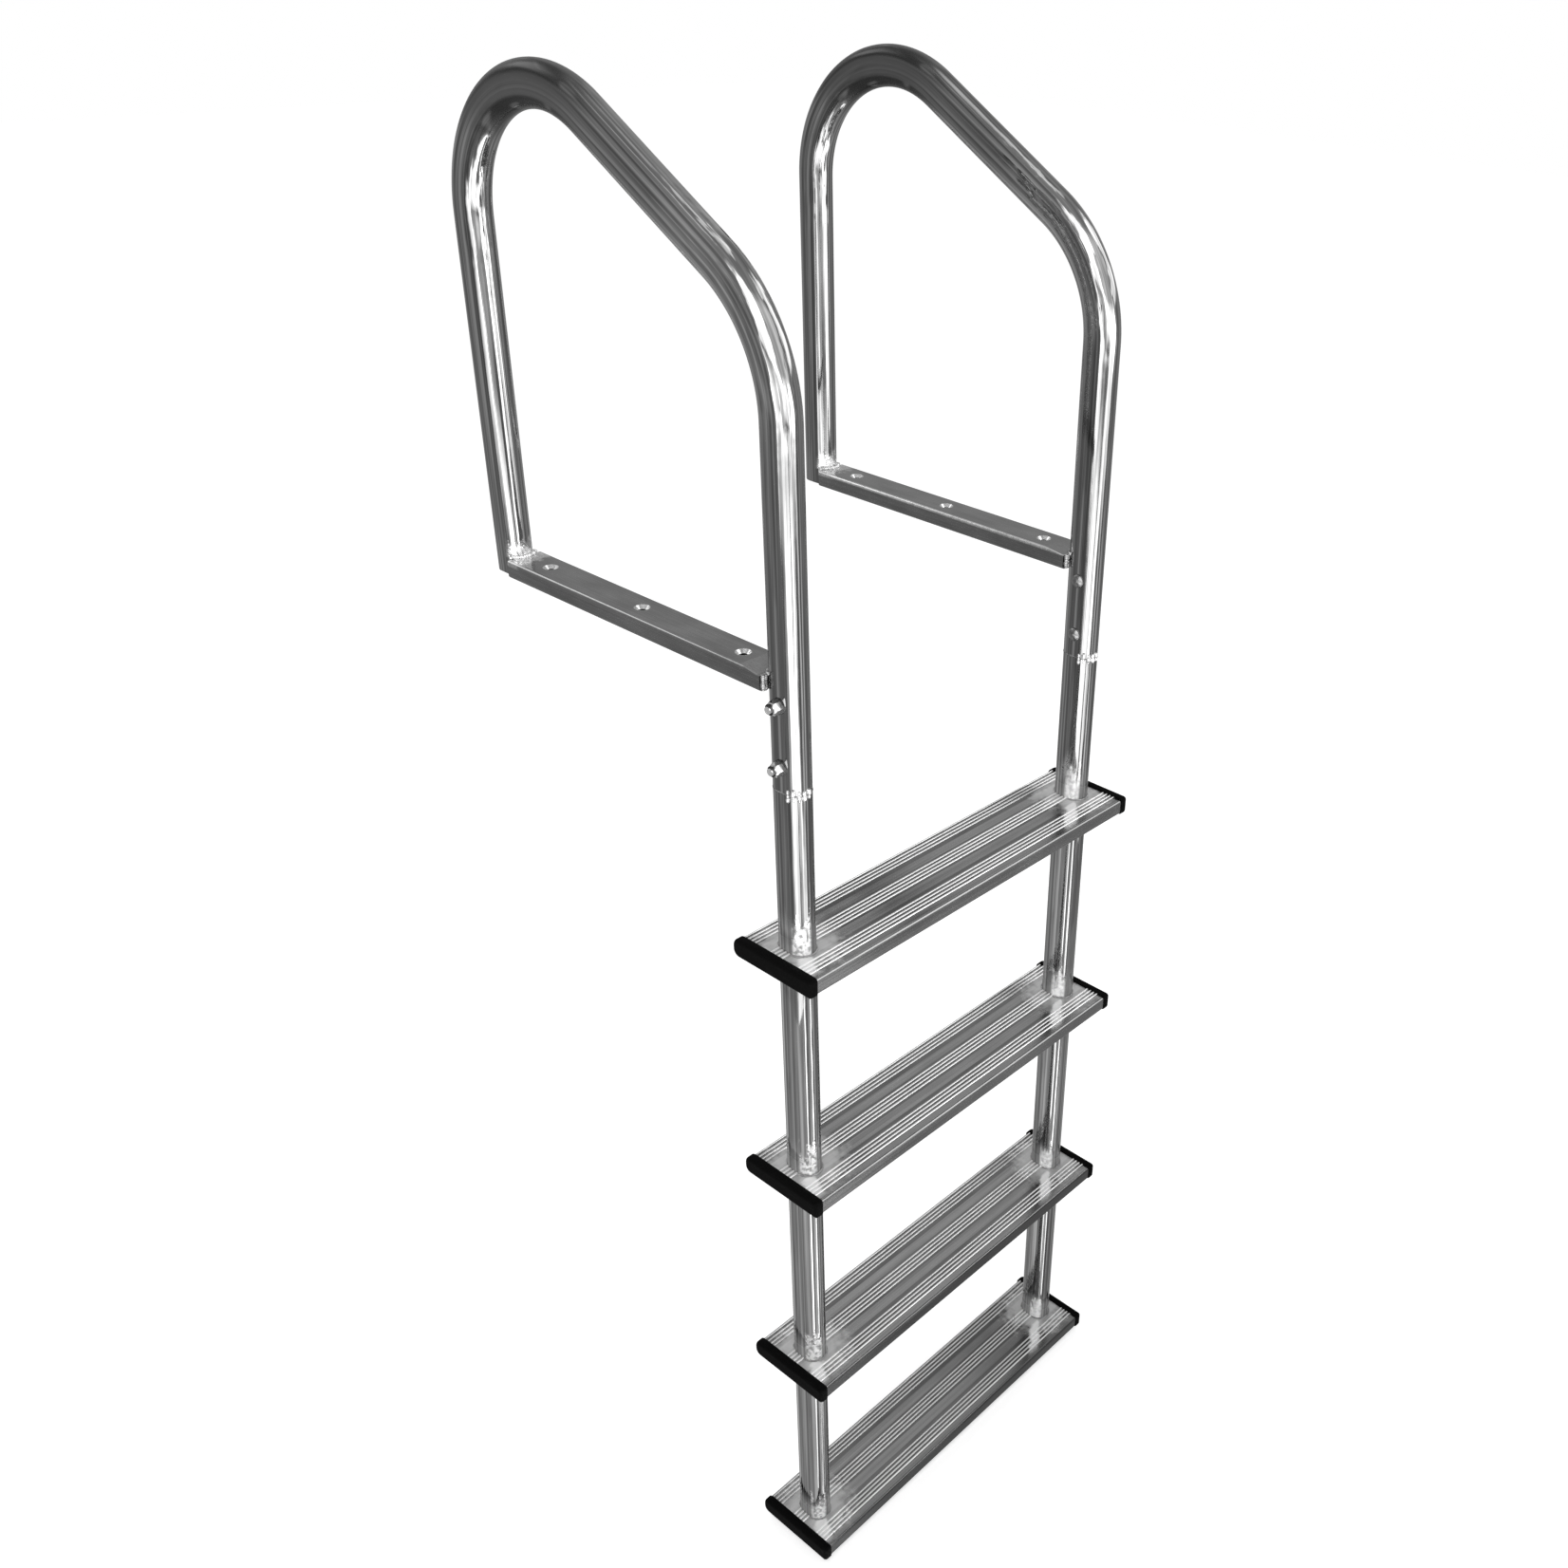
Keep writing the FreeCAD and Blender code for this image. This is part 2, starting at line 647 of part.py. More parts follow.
def make_step(number):
    """Hollow extruded step with three groups of ribs and two rail holes."""
    name = f"step_{number}"
    body = new_body(name, "rail_spacing / 2", "front_leg_y", step_z(number))
    outline = Sketch(body, "YZ_Plane", "StepOutline")
    half = "step_depth / 2"
    ends = ("step_nose", "step_heel")
    outline.rounded_box(f"-{half}", half, "-step_height", "0", *ends)
    pad(body, outline, "Plank", "step_length", "Symmetric")

    row_length = f"{RIB_COUNT - 1} * rib_pitch"
    rib_row(body, "RearRib", f"step_depth / 2 - rear_rib_inset - {row_length}")
    rib_row(body, "MiddleRib", f"middle_rib_shift - {row_length} / 2")
    rib_row(body, "FrontRib", "front_rib_inset - step_depth / 2")

    chambers = Sketch(body, "YZ_Plane", "ChamberOutlines")
    chamber_outlines(chambers)
    pocket(body, chambers, "Chambers", "step_length + through_cut", "Symmetric")

    holes = Sketch(body, "XY_Plane", "RailHoleOutlines")
    rail_ovals(holes, "fit_gap")
    pocket(body, holes, "RailHoles", "through_cut", "Symmetric")
    return body


def make_end_cap(number, side):
    """Cap over one end of a step, with three plugs that push into it."""
    name = f"step_{number}_{side}_cap"
    turn = TURNS[side]
    rear = {0: 1, 180: -1}[turn]
    body = new_body(name, "rail_spacing / 2", "front_leg_y", step_z(number), turn)
    face = "step_length / 2"
    half = "(step_depth / 2 + cap_lip)"
    outline = Sketch(body, "YZ_Plane", "CapOutline", face)
    outline.rounded_box(
        f"-{half}",
        half,
        "-step_height - cap_lip",
        "rib_height + cap_lip",
        *("step_nose + cap_lip", "step_heel + cap_lip")[::rear],
    )
    plate = pad(body, outline, "Plate", "cap_thickness")
    outer_x = size("step_length / 2 + cap_thickness")
    round_edges(
        body, plate, "OuterEdge", "cap_round", lambda edge: lies_at(edge, "X", outer_x)
    )
    plugs = Sketch(body, "YZ_Plane", "PlugOutlines", face)
    chamber_outlines(plugs, "fit_gap", rear)
    pad(body, plugs, "Plugs", "plug_depth", reverse=True)
    return body


# Splice bolts, nuts and washers.


def bolt_body(name, side, level):
    """Body on a splice bolt's axis at the tube's middle, +X outwards."""
    place = (rail_x(side), "front_leg_y", f"{level}_bolt_z")
    return new_body(f"{side}_{level}_{name}", *place, TURNS[side])


def make_bolt(side, level):
    """Domed bolt from the inner side of the leg to past the nut."""
    body = bolt_body("bolt", side, level)
    half = Sketch(body, "XY_Plane", "HalfProfile")
    seat = "-tube_width / 2"
    stack = "washer_thickness + nut_height + collar_height + bolt_end"
    dome_height = "(head_height - head_rim)"
    ball = f"((head_diameter / 2)^2 + {dome_height}^2) / (2 * {dome_height})"
    places = (
        (f"{seat} - head_rim", "head_diameter / 2"),
        (seat, "head_diameter / 2"),
        (seat, "bolt_thread / 2"),
        (f"tube_width / 2 + {stack}", "bolt_thread / 2"),
        (f"tube_width / 2 + {stack}", "0"),
        (f"{seat} - head_height", "0"),
    )
    lines = half.open_lines(places)
    lean = math.degrees(math.asin(size("head_diameter / 2") / size(ball)))
    centre_x = f"{seat} - head_height + {ball}"
    dome = half.arc(centre_x, "0", ball, 180 - lean, 180)
    half.constrain("Coincident", dome, 1, lines[0], 1)
    half.constrain("Coincident", dome, 2, lines[-1], 2)
    half.measure("DistanceY", -1, 1, dome, CENTRE, "0")
    revolve(body, half, "Bolt", "H_Axis")
    return body


def make_washer(side, level):
    """Flat washer under the nut."""
    body = bolt_body("washer", side, level)
    ring = Sketch(body, "YZ_Plane", "WasherRing", "tube_width / 2")
    ring.circle("0", "0", "washer_diameter")
    ring.circle("0", "0", "nut_bore")
    pad(body, ring, "Washer", "washer_thickness")
    return body


def make_nut(side, level):
    """Hexagonal lock nut with a round collar on its outer end."""
    body = bolt_body("nut", side, level)
    foot = "tube_width / 2 + washer_thickness"
    crown = f"{foot} + nut_height"
    corner = "nut_flats / 2 / cos(30)"
    hexagon = Sketch(body, "YZ_Plane", "NutHexagon", foot)
    turns = range(0, 360, 60)
    hexagon.polygon(
        [(f"{corner} * cos({turn})", f"{corner} * sin({turn})") for turn in turns]
    )
    pad(body, hexagon, "Hexagon", "nut_height")
    collar = Sketch(body, "YZ_Plane", "CollarCircle", crown)
    collar.circle("0", "0", "collar_diameter")
    pad(body, collar, "Collar", "collar_height")

    rim = Sketch(body, "XY_Plane", "CornerCut")
    rim.polygon(
        (
            (crown, "nut_flats / 2"),
            (crown, "nut_flats"),
            (f"{crown} - nut_chamfer", "nut_flats"),
            (f"{crown} - nut_chamfer", corner),
        )
    )
    groove = body.newObject("PartDesign::Groove", "RoundedCorners")
    groove.Profile = rim.item
    groove.ReferenceAxis = (rim.item, ["H_Axis"])
    groove.Angle = 360

    bore = Sketch(body, "YZ_Plane", "BoreCircle")
    bore.circle("0", "0", "nut_bore")
    pocket(body, bore, "Bore", "through_cut", "Symmetric")
    return body


# Weld beads.


def end_bead(body, name, across, facing, foot, leg, angle):
    """Bead round the front (-1) or the back (1) of a rail, on a flat at foot."""
    centre = (f"{facing} * tube_straight / 2", foot)
    section = Sketch(body, "YZ_Plane", f"{name}Section", across, centre)
    start = f"{facing} * bead_seat"
    end = f"{facing} * (bead_seat + {leg})"
    lines = section.open_lines(((end, "0"), (start, "0"), (start, leg)))
    if facing > 0:
        crown = section.arc(start, "0", leg, 0, 90)
        low_end, high_end = START, END
    else:
        crown = section.arc(start, "0", leg, 90, 180)
        low_end, high_end = END, START
    section.constrain("Coincident", crown, low_end, lines[0], START)
    section.constrain("Coincident", crown, high_end, lines[-1], END)
    section.measure("DistanceY", -1, 1, crown, CENTRE, "0")
    revolve(body, section, name, "V_Axis", angle, symmetric=True)


def ring_bead(body, name, places, foot, leg, height, side_type):
    """Bead all round the rails at the given places; returns its feature."""
    ring = Sketch(body, "XY_Plane", f"{name}Outlines", foot)
    for across in places:
        for grow in ("weld_gap", f"weld_gap + {leg}"):
            depth = f"tube_depth + 2 * ({grow})"
            ring.oval(across, "0", depth, f"tube_width + 2 * ({grow})")
    return pad(body, ring, name, height, side_type, reverse=True)


def is_outer(edge, places, heights, least):
    """Whether an edge runs round the outside of a ring bead at such a height."""
    if not any(lies_at(edge, "Z", height) for height in heights):
        return False
    if hasattr(edge.Curve, "Radius"):
        return edge.Curve.Radius > least
    middle = edge.BoundBox.Center.x
    return min(abs(middle - place) for place in places) > least


def make_step_welds(number):
    """Beads at both rails: before and behind them on top, all round below."""
    name = f"step_{number}_welds"
    body = new_body(name, "rail_spacing / 2", "front_leg_y", step_z(number))
    foot = "-step_height"
    ring = ring_bead(
        body, "UnderBeads", RAIL_PLACES, foot, "under_bead", "under_bead", "One side"
    )
    lowest = size("-step_height - under_bead")
    least = size("bead_seat + under_bead / 2")
    places = [size(across) for across in RAIL_PLACES]
    round_edges(
        body,
        ring,
        "UnderCrown",
        "under_crown",
        lambda edge: is_outer(edge, places, (lowest,), least),
    )
    for side, across in zip(SIDES, RAIL_PLACES):
        for place, (facing, angle) in END_BEADS.items():
            title = f"{side.title()}{place}Bead"
            end_bead(body, title, across, facing, "0", "top_bead", angle)
    return body


def make_splice_weld(side):
    """Low bead round both tube ends at the splice."""
    place = (rail_x(side), "front_leg_y", "-splice_drop")
    body = new_body(f"{side}_splice_weld", *place)
    ring = ring_bead(
        body, "Bead", ("0",), "0", "splice_bead", "splice_bead_height", "Symmetric"
    )
    reach = size("splice_bead_height / 2")
    least = size("bead_seat + splice_bead / 2")
    round_edges(
        body,
        ring,
        "Crown",
        "splice_crown",
        lambda edge: is_outer(edge, (0,), (reach, -reach), least),
    )
    return body


def make_bar_weld(side, leg):
    """Beads between a deck bar and a leg: one on top, two upright ones."""
    facing = {"rear": -1, "front": 1}[leg]
    leg_y = {"rear": "rear_leg_y", "front": "front_leg_y"}[leg]
    top = {"rear": "bar_height", "front": "bar_height - bar_bevel_drop"}[leg]
    body = new_body(f"{side}_{leg}_leg_weld", rail_x(side), leg_y)
    bar_end = f"{facing} * (tube_depth / 2 - bar_cope)"
    beyond = f"{facing} * (tube_depth / 2 + corner_bead)"

    uprights = Sketch(body, "XY_Plane", "UprightCircles")
    for across in ("-tube_width / 2", "tube_width / 2"):
        uprights.circle(across, bar_end, "2 * corner_bead")
    pad(body, uprights, "Uprights", top)
    bar_zone = Sketch(body, "XY_Plane", "BarZone")
    bar_zone.polygon(
        (
            ("-bar_width", bar_end),
            ("bar_width", bar_end),
            ("bar_width", beyond),
            ("-bar_width", beyond),
        )
    )
    pocket(body, bar_zone, "BarSeat", "through_cut", "Symmetric")
    end_bead(body, "TopBead", "0", facing, top, "bar_bead", "bar_bead_angle")
    leg_zone = Sketch(body, "XY_Plane", "LegZone")
    grown = ("tube_depth + 2 * weld_gap", "tube_width + 2 * weld_gap")
    leg_zone.oval("0", "0", *grown)
    pocket(body, leg_zone, "LegSeat", "through_cut", "Symmetric")
    if leg == "front":
        wedge = Sketch(body, "YZ_Plane", "BevelWedge")
        wedge.polygon(
            (
                ("tube_depth / 2", top),
                ("tube_depth / 2 + bar_bevel_length", top),
                ("tube_depth / 2 + bar_bevel_length", "bar_height"),
            )
        )
        pocket(body, wedge, "BevelSeat", "through_cut", "Symmetric")
    return body


def build_parts():
    """Make every sub-part of the ladder."""
    parts = []
    for side in SIDES:
        parts.append(make_handrail(side))
        parts.append(make_side_rail(side))
        parts.append(make_splice_insert(side))
        parts.append(make_foot_plug(side))
        parts.append(make_deck_bar(side))
        parts.append(make_splice_weld(side))
        for leg in ("front", "rear"):
            parts.append(make_bar_weld(side, leg))
        for level in ("upper", "lower"):
            parts.append(make_bolt(side, level))
            parts.append(make_washer(side, level))
            parts.append(make_nut(side, level))
    for number in range(1, STEP_COUNT + 1):
        parts.append(make_step(number))
        parts.append(make_step_welds(number))
        for side in SIDES:
            parts.append(make_end_cap(number, side))
    doc.recompute()
    return parts


def check_document():
    """Stop at any object that did not compute."""
    for item in doc.Objects:
        if "Invalid" in item.State or "Error" in item.State:
            raise RuntimeError(f"{item.Label} did not compute")


def export_parts(parts):
    """Write each sub-part to its own STEP file."""
    os.makedirs("parts", exist_ok=True)
    for part in parts:
        shape = part.Shape
        if shape.isNull() or not shape.isValid():
            raise RuntimeError(f"{part.Label} has no valid shape")
        shape.exportStep(f"parts/{part.Label}.step")


fill_sheet()
ladder_parts = build_parts()
check_document()
export_parts(ladder_parts)
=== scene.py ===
import logging
import math
from dataclasses import dataclass, field
from enum import Enum
from functools import cached_property
from typing import Callable, Union

import bpy
from mathutils import Matrix, Vector


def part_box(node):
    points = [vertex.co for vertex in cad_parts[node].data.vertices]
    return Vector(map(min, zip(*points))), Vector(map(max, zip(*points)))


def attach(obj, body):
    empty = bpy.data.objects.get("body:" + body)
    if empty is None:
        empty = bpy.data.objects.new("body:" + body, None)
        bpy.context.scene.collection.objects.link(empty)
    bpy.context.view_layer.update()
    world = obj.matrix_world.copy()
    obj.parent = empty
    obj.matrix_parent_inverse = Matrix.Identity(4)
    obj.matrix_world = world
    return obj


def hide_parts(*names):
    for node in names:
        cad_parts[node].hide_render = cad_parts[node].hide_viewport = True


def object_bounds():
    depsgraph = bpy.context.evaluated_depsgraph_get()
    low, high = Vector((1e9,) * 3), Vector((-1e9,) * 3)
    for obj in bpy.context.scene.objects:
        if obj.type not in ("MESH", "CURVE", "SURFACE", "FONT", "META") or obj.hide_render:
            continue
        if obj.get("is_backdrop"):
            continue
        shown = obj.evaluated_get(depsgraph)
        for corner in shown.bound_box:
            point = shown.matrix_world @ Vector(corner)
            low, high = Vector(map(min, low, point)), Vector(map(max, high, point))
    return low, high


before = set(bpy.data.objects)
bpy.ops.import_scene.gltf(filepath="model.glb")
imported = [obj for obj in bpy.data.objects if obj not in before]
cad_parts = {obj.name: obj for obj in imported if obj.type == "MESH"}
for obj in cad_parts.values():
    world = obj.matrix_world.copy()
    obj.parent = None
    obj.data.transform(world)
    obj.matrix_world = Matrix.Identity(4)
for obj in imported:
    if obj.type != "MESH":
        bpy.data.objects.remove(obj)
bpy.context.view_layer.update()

log = logging.getLogger("dock_ladder")

MM = 0.001
BODY = "root"
TUBE_PLACE = "tube_place"
# near-white level of the painted highlight on the brushed patches of tubes and steps
BRUSHED_HIGHLIGHT_LEVEL = 0.97


class Side(Enum):
    """The two sides of the ladder, with the place of each rail across it."""

    LEFT = 0.0
    RIGHT = 465.0 * MM

    @property
    def word(self) -> str:
        """The side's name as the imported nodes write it."""
        return self.name.lower()


class Reach(Enum):
    """How far round a tube a weld bead runs, as start and end in degrees."""

    ALL_ROUND = (0.0, 360.0)
    FRONT = (185.0, 355.0)
    REAR = (45.0, 135.0)
    BIG_TACK = (190.0, 236.0)
    SMALL_TACK = (254.0, 276.0)
    BAR_REAR_LEG = (214.0, 326.0)
    BAR_FRONT_LEG = (34.0, 146.0)


class WeldSkin(Enum):
    """How a bead is left: its metal's name, bright, dull and pit levels, roughness."""

    ROUGH = ("weld_metal", 0.9, 0.45, 0.05, 0.2)
    DRESSED = ("dressed_weld", 0.42, 0.26, 0.12, 0.26)
    GROUND = ("ground_weld", 0.2, 0.1, 0.05, 0.2)


@dataclass(frozen=True)
class LadderSizes:
    """Sizes of the ladder in metres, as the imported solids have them."""

    tube_depth: float = 43.5 * MM
    tube_width: float = 31.0 * MM
    front_leg_y: float = -41.75 * MM
    rear_leg_y: float = 398.25 * MM
    front_corner_rise: float = 344.0 * MM
    slope: float = math.radians(30.0)
    rear_bend: float = 130.0 * MM
    front_bend: float = 150.0 * MM
    foot_round: float = 9.0 * MM
    foot_drop: float = 6.0 * MM
    splice_z: float = -106.0 * MM
    splice_gap: float = 0.6 * MM
    bar_top: float = 20.0 * MM
    bar_nose: float = 17.0 * MM
    first_step_z: float = -298.0 * MM
    step_pitch: float = 304.8 * MM
    step_height: float = 19.0 * MM
    step_depth: float = 117.0 * MM
    step_count: int = 4
    rib_groups: tuple[float, ...] = (41.5 * MM, 3.8 * MM, -35.3 * MM)
    rib_group_half: float = 12.5 * MM
    rib_pitch: float = 5.4 * MM
    hole_pitch: float = 155.0 * MM
    hole_middle: float = 178.25 * MM

    @property
    def rear_corner_rise(self) -> float:
        """Height where the slope's line meets the rear leg's line."""
        run = self.rear_leg_y - self.front_leg_y
        return self.front_corner_rise + run * math.tan(self.slope)

    @property
    def foot_z(self) -> float:
        """Height of the side rails' lower ends."""
        return self.step_z(self.step_count) - self.step_height - self.foot_drop

    @property
    def middle_x(self) -> float:
        """Middle of the ladder, between its two sides."""
        return (Side.LEFT.value + Side.RIGHT.value) / 2

    def step_z(self, number: int) -> float:
        """Height of a step's flat top, counted from the uppermost step."""
        return self.first_step_z - (number - 1) * self.step_pitch


SIZES = LadderSizes()

Socket = bpy.types.NodeSocket
Material = bpy.types.Material
Piece = bpy.types.Object
Number = Union[float, "Value"]
Feed = Union[float, tuple, "Value", Socket, Material]


def maths(operation: str, swapped: bool = False) -> Callable:
    """Make an operator, or a method like one, that adds a Math node.

    Args:
        operation: The Math node's operation.
        swapped: Whether the other term comes first.

    Returns:
        The operator, as a method of Value.
    """
    def method(self: "Value", *others: Number) -> "Value":
        """The value and the other terms, put through one Math node."""
        terms = dict(enumerate((*others, self) if swapped else (self, *others)))
        return self.bench.value("ShaderNodeMath", {"operation": operation}, terms)
    return method


class Value:
    """A node socket that plain arithmetic can be written with."""

    __add__ = maths("ADD")
    __radd__ = maths("ADD", swapped=True)
    __sub__ = maths("SUBTRACT")
    __rsub__ = maths("SUBTRACT", swapped=True)
    __mul__ = maths("MULTIPLY")
    __rmul__ = maths("MULTIPLY", swapped=True)
    __truediv__ = maths("DIVIDE")
    __rtruediv__ = maths("DIVIDE", swapped=True)
    size = maths("ABSOLUTE")
    sign = maths("SIGN")
    root = maths("SQRT")
    sine = maths("SINE")
    most = maths("MAXIMUM")
    _wrap = maths("WRAP")

    def __init__(self, bench: "Bench", socket: Socket) -> None:
        """Keep the socket and the bench that its nodes stand on."""
        self.bench = bench
        self.socket = socket

    def wrapped(self, half: float) -> "Value":
        """The value counted round and round from -half to half."""
        return self._wrap(half, -half)

    def rise(self, low: float, high: float) -> "Value":
        """Smooth step from 0 at low to 1 at high."""
        smooth = {"interpolation_type": "SMOOTHSTEP"}
        ends = {0: self, 1: low, 2: high, 3: 0.0, 4: 1.0}
        return self.bench.value("ShaderNodeMapRange", smooth, ends)

    def fall(self, low: float, high: float) -> "Value":
        """Smooth step from 1 at low to 0 at high."""
        return 1.0 - self.rise(low, high)


def grey(level: float) -> tuple[float, float, float, float]:
    """A grey colour of that linear brightness."""
    return (level, level, level, 1.0)


class Bench:
    """A node tree and the one way in which nodes are put on it."""

    def __init__(self, tree: bpy.types.NodeTree) -> None:
        """Clear the tree and keep it to work on."""
        tree.nodes.clear()
        self.tree = tree

    def node(self, kind: str, settings: dict | None = None,
             inputs: dict | None = None) -> bpy.types.Node:
        """Add a node.

        Args:
            kind: The node's type.
            settings: Its settings, which are set before its sockets.
            inputs: Values or links by socket name or number.

        Returns:
            The new node.
        """
        made = self.tree.nodes.new(kind)
        for name, setting in (settings or {}).items():
            setattr(made, name, setting)
        for key, feed in (inputs or {}).items():
            self.feed(made.inputs[key], feed)
        return made

    def out(self, kind: str, settings: dict | None = None, inputs: dict | None = None,
            output: int | str = 0) -> Socket:
        """Add a node as node() does, and give its output of that name or number."""
        return self.node(kind, settings, inputs).outputs[output]

    def value(self, *asked: Union[str, int, dict, None]) -> Value:
        """Add a node as out() does, and give its output ready to be used in sums."""
        return Value(self, self.out(*asked))

    def feed(self, socket: Socket, feed: Feed) -> None:
        """Link or set one input.

        Args:
            socket: The input.
            feed: What it gets.
        """
        feed = feed.socket if isinstance(feed, Value) else feed
        if isinstance(feed, Socket):
            self.tree.links.new(feed, socket)
        else:
            socket.default_value = feed

    def split(self, vector: Socket) -> tuple[Value, ...]:
        """The three numbers of a vector."""
        made = self.node("ShaderNodeSeparateXYZ", inputs={0: vector})
        return tuple(Value(self, socket) for socket in made.outputs)

    def join(self, *numbers: Number) -> Socket:
        """A vector of three numbers."""
        return self.out("ShaderNodeCombineXYZ", inputs=dict(enumerate(numbers)))

    def noise(self, place: Socket, scale: Union[float, tuple] = 1.0,
              detail: float = 3.0) -> Value:
        """Soft noise between 0 and 1.

        Args:
            place: Where it is read.
            scale: How fine it is, alike in all directions or along x, y and z.
            detail: How many finer layers it has.

        Returns:
            The noise.
        """
        if isinstance(scale, tuple):
            times = {"operation": "MULTIPLY"}
            place = self.out("ShaderNodeVectorMath", times, {0: place, 1: scale})
            scale = 1.0
        inputs = {"Vector": place, "Scale": scale, "Detail": detail}
        return self.value("ShaderNodeTexNoise", None, inputs)

    def shade(self, factor: Number, low: Union[float, Socket],
              high: Union[float, Socket]) -> Socket:
        """A colour between two.

        Args:
            factor: How far it is from the low one to the high one.
            low: A grey level or a colour's socket.
            high: Another.

        Returns:
            The colour.
        """
        ends = [grey(end) if isinstance(end, float) else end for end in (low, high)]
        inputs = {0: factor, 6: ends[0], 7: ends[1]}
        return self.out("ShaderNodeMix", {"data_type": "RGBA"}, inputs, 2)


class MaterialBench(Bench):
    """The bench of one material."""

    def __init__(self, name: str) -> None:
        """Make the material with an empty tree."""
        self.material = bpy.data.materials.new(name)
        self.material.use_nodes = True
        super().__init__(self.material.node_tree)

    def show(self, shader: Socket) -> Material:
        """Put the shader on the surface and give the material."""
        self.node("ShaderNodeOutputMaterial", inputs={"Surface": shader})
        return self.material


class FinishBench(MaterialBench):
    """The bench of one of the ladder's finishes, with its shader already on it."""

    def __init__(self, name: str, **fixed: float) -> None:
        """Make the material.

        Args:
            name: The material's name.
            fixed: Uniform values for the shader's own sockets, with _ for a space.
        """
        super().__init__(name)
        self.shader = self.node("ShaderNodeBsdfPrincipled")
        for key, level in fixed.items():
            self.shader.inputs[key.replace("_", " ")].default_value = level
        self.place = self.out("ShaderNodeTexCoord", output="Object")

    @cached_property
    def axes(self) -> tuple[Value, ...]:
        """The point's x, y and z in the part's frame, in metres."""
        return self.split(self.place)

    @cached_property
    def right(self) -> Value:
        """1 on the ladder's right side and 0 on its left side."""
        return self.axes[0].rise(0.2, 0.3)

    @cached_property
    def under(self) -> Value:
        """1 below the splices and 0 above them."""
        return self.axes[2].fall(-0.2, -0.19)

    @cached_property
    def over_step(self) -> Value:
        """Height over the nearest step's flat top, from half a pitch below it."""
        return (self.axes[2] - SIZES.first_step_z).wrapped(SIZES.step_pitch / 2)

    @cached_property
    def past_nuts(self) -> Value:
        """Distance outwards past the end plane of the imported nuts."""
        end = SIZES.middle_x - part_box("left_upper_nut")[0].x
        return (self.axes[0] - SIZES.middle_x).size() - end

    def finish(self, colour: Socket, roughness: Number, relief: Value, depth: float,
               frosted: Value | None = None) -> Material:
        """Feed the shader.

        Args:
            colour: Base colour.
            roughness: Roughness.
            relief: Height of the surface, as a share of the depth.
            depth: What a height of 1 stands for, in metres.
            frosted: How far the metal scatters light as a pale skin does.

        Returns:
            The finished material.
        """
        heights = {"Strength": 1.0, "Distance": depth, "Height": relief}
        bump = self.out("ShaderNodeBump", inputs=heights)
        feeds = {"Base Color": colour, "Roughness": roughness, "Normal": bump}
        if frosted is not None:
            feeds["Metallic"] = 1.0 - frosted
        for name, feed in feeds.items():
            self.feed(self.shader.inputs[name], feed)
        return self.show(self.shader.outputs[0])


